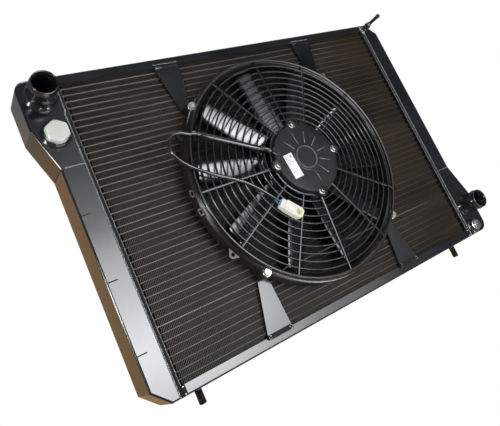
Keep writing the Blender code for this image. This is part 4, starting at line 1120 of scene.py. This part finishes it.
def smooth_route(route, count):
    dense = []
    last = len(route) - 1
    for i in range(last):
        p0 = route[max(i - 1, 0)]
        p1 = route[i]
        p2 = route[i + 1]
        p3 = route[min(i + 2, last)]
        for step in range(16):
            t = step / 16.0
            point = []
            for a, b, c, d in zip(p0, p1, p2, p3):
                value = 2.0 * b + (c - a) * t + (2.0 * a - 5.0 * b + 4.0 * c - d) * t * t
                value += (3.0 * b - a - 3.0 * c + d) * t * t * t
                point.append(0.5 * value)
            dense.append(point)
    dense.append(list(route[-1]))
    lengths = [0.0]
    for a, b in zip(dense[:-1], dense[1:]):
        lengths.append(lengths[-1] + math.dist(a, b))
    result = []
    j = 0
    for i in range(count):
        want = lengths[-1] * i / (count - 1)
        while j < len(dense) - 2 and lengths[j + 1] < want:
            j += 1
        t = (want - lengths[j]) / (lengths[j + 1] - lengths[j])
        result.append([a + (b - a) * t for a, b in zip(dense[j], dense[j + 1])])
    return result


def tube(name, points, radius, material, replaces):
    curve = bpy.data.curves.new(name, "CURVE")
    curve.dimensions = "3D"
    curve.bevel_depth = radius * MM
    curve.bevel_resolution = 4
    curve.use_fill_caps = True
    spline = curve.splines.new("POLY")
    spline.points.add(len(points) - 1)
    for slot, point in zip(spline.points, points):
        slot.co = (*to_world(*point), 1.0)
    spline.use_smooth = True
    item = add_object(name, curve)
    curve.materials.append(material)
    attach(item, "radiator")
    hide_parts(*replaces)
    return item


def connector_point(along, side):
    a = math.radians(CONNECTOR_ANGLE)
    x = CONNECTOR_XY[0] + along * math.cos(a) - side * math.sin(a)
    y = CONNECTOR_XY[1] + along * math.sin(a) + side * math.cos(a)
    return x, y


def build_lead():
    route = lead_route()
    points = smooth_route(route, 220)
    lead = tube("lead_visual", points, LEAD_R, JACKET, ("motor_lead",))
    ex, ey, ez = route[-1]
    px, py, _ = route[-2]
    span = math.hypot(ex - px, ey - py)
    dx = (ex - px) / span
    dy = (ey - py) / span
    for name, side in (("lead_wire_a", -1.0), ("lead_wire_b", 1.0)):
        start = (ex + dx * 0.2 - dy * side * 1.1, ey + dy * 0.2 + dx * side * 1.1, ez + 0.1)
        near = connector_point(-19.3 - 3.0, side * 2.6)
        end = connector_point(-19.1, side * 2.6)
        top = 98.6
        mid = (0.5 * (start[0] + near[0]), 0.5 * (start[1] + near[1]), 0.5 * (ez + top) + 0.4)
        wire = [start, mid, (near[0], near[1], top), (end[0], end[1], top)]
        tube(name + "_visual", smooth_route(wire, 24), WIRE_R, BLUE, (name,))
    housing, seal = build_connector()
    build_ties()
    build_sleeve()


def build_connector():
    z0 = 92.6
    z1 = 103.4
    cx, cy = CONNECTOR_XY
    outline = [(-19.0, -7.0), (-12.0, -7.2), (-11.4, -8.4), (14.0, -8.4), (19.0, -5.0)]
    outline += [(19.0, 5.0), (14.0, 8.4), (-11.4, 8.4), (-12.0, 7.2), (-19.0, 7.0)]
    outline = [(cx + u, cy + v) for u, v in outline]
    body = piece("connector_visual", [extrude(outline, "z", z0, z1)], CREAM, replaces=("connector_housing",))
    step = box(cx - 25.0, cx - 12.0, cy - 12.0, cy + 12.0, z1 - 1.8, z1 + 2.0)
    slots = [box(cx - 8.0, cx + 3.0, cy + v0, cy + v1, z1 - 1.6, z1 + 2.0)
             for v0, v1 in ((-6.2, -4.6), (4.6, 6.2))]
    pocket = cylinder(cx + 11.0, cy, 4.1, 40, z1 - 1.9, z1 + 2.0)
    reshape(body, [step], "DIFFERENCE")
    reshape(body, [*slots, pocket], "DIFFERENCE")
    turn_mesh(body, CONNECTOR_ANGLE, cx, cy)
    round_edges(body, 0.6, 3)
    x, y = connector_point(11.0, 0.0)
    profile = [(1.2, z1 - 1.3), (3.5, z1 - 1.3), (3.6, z1 + 0.4), (3.2, z1 + 0.9), (1.8, z1 + 0.9)]
    profile += [(1.2, z1 + 0.3)]
    seal = piece("seal_visual", [lathe(profile, x, y, 40)], YELLOW, replaces=("connector_seal",), smooth=50)
    return body, seal


def build_sleeve():
    """Flat braided sleeve over the lead where it follows the spoke."""
    verts = []
    stations = [78.0, 79.5, 95.0, 115.0, 135.0, 155.0, 167.5, 169.0]
    count = 20
    for n, radius in enumerate(stations):
        swell = 0.86 if n in (0, len(stations) - 1) else 1.0
        z = guard_height(radius) + 3.2
        for i in range(count):
            a = 2.0 * math.pi * i / count
            c = math.cos(a)
            d = math.sin(a)
            v = LEAD_OFFSET + 3.7 * swell * math.copysign(abs(c) ** 0.7, c)
            verts.append((radius, v, z + 2.95 * swell * math.copysign(abs(d) ** 0.7, d)))
    shell = (verts, loft_faces(len(stations), count))
    piece("lead_sleeve", [around_fan(shell, LEAD_SPOKE)], JACKET, smooth=50)


def build_ties():
    for name, radius in (("cable_tie_outer", 173.0), ("cable_tie_inner", 74.8)):
        top = guard_height(radius)
        low_v = -2.1
        high_v = LEAD_OFFSET + LEAD_R + 0.4
        low_z = top - 3.2 - 0.55
        high_z = top + 0.3 + 2.0 * LEAD_R + 0.55
        inner = rounded(low_v, high_v, low_z, high_z, 1.4)
        outer = rounded(low_v - 0.8, high_v + 0.8, low_z - 0.8, high_z + 0.8, 2.2)
        count = len(inner)
        verts = []
        for u in (radius - 1.0, radius + 1.0):
            verts += [(u, v, z) for v, z in outer]
            verts += [(u, v, z) for v, z in inner]
        faces = []
        for i in range(count):
            j = (i + 1) % count
            faces.append((i, j, count + j, count + i))
            faces.append((2 * count + i, 2 * count + j, 3 * count + j, 3 * count + i))
            faces.append((i, j, 2 * count + j, 2 * count + i))
            faces.append((count + i, count + j, 3 * count + j, 3 * count + i))
        loop = around_fan((verts, faces), LEAD_SPOKE)
        stand_in(name, [loop], GUARD, smooth=40, bevel=0.2)


def rounded(u0, u1, v0, v1, radius):
    points = []
    for cu, cv, first in ((u1 - radius, v1 - radius, 0.0), (u0 + radius, v1 - radius, 90.0),
                          (u0 + radius, v0 + radius, 180.0), (u1 - radius, v0 + radius, 270.0)):
        for step in range(5):
            a = math.radians(first + 22.5 * step)
            points.append((cu + radius * math.cos(a), cv + radius * math.sin(a)))
    return points


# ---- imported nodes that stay

PAINTED = (
    "side_channel_top", "side_channel_bottom", "tank_left_narrow", "tank_left_wide", "tank_right_narrow",
    "tank_right_wide", "fan_strap_tl", "fan_strap_tr", "fan_strap_bl", "fan_strap_br",
)


def dress_nodes():
    """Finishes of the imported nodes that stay, and rounded folds on the painted sheet."""
    looks = {"motor_label": LABEL, "motor_armature": COPPER, "impeller_nut": DARK_ZINC}
    looks.update(dict.fromkeys(("motor_shaft", "bearing_front", "bearing_rear"), ZINC))
    looks.update(dict.fromkeys(PAINTED, PAINT))
    for name, look in looks.items():
        item = NODES[name]
        item.data.materials.clear()
        item.data.materials.append(look)
        if look is PAINT:
            round_edges(item, 0.3 if name.startswith("fan_strap") else 1.2, 3)


def main():
    add_camera()
    add_floor()
    add_lights()
    dress_nodes()
    build_tubes()
    build_fins()
    build_welds()
    build_tabs()
    build_neck("inlet_neck", INLET_XY, INLET_R, 22.3)
    build_neck("outlet_neck", OUTLET_XY, OUTLET_R, 20.0)
    build_boss("filler_boss", FILLER_XY, 20.0, 12.6, 4.2)
    build_boss("lower_boss", LOWER_XY, 14.4, 7.2, 5.4)
    build_filler_plug()
    build_lower_plug()
    build_tap()
    build_pins()
    build_straps()
    build_shroud()
    build_guard()
    build_impeller()
    build_motor()
    build_lead()
    bpy.context.scene.view_settings.view_transform = "Standard"


main()
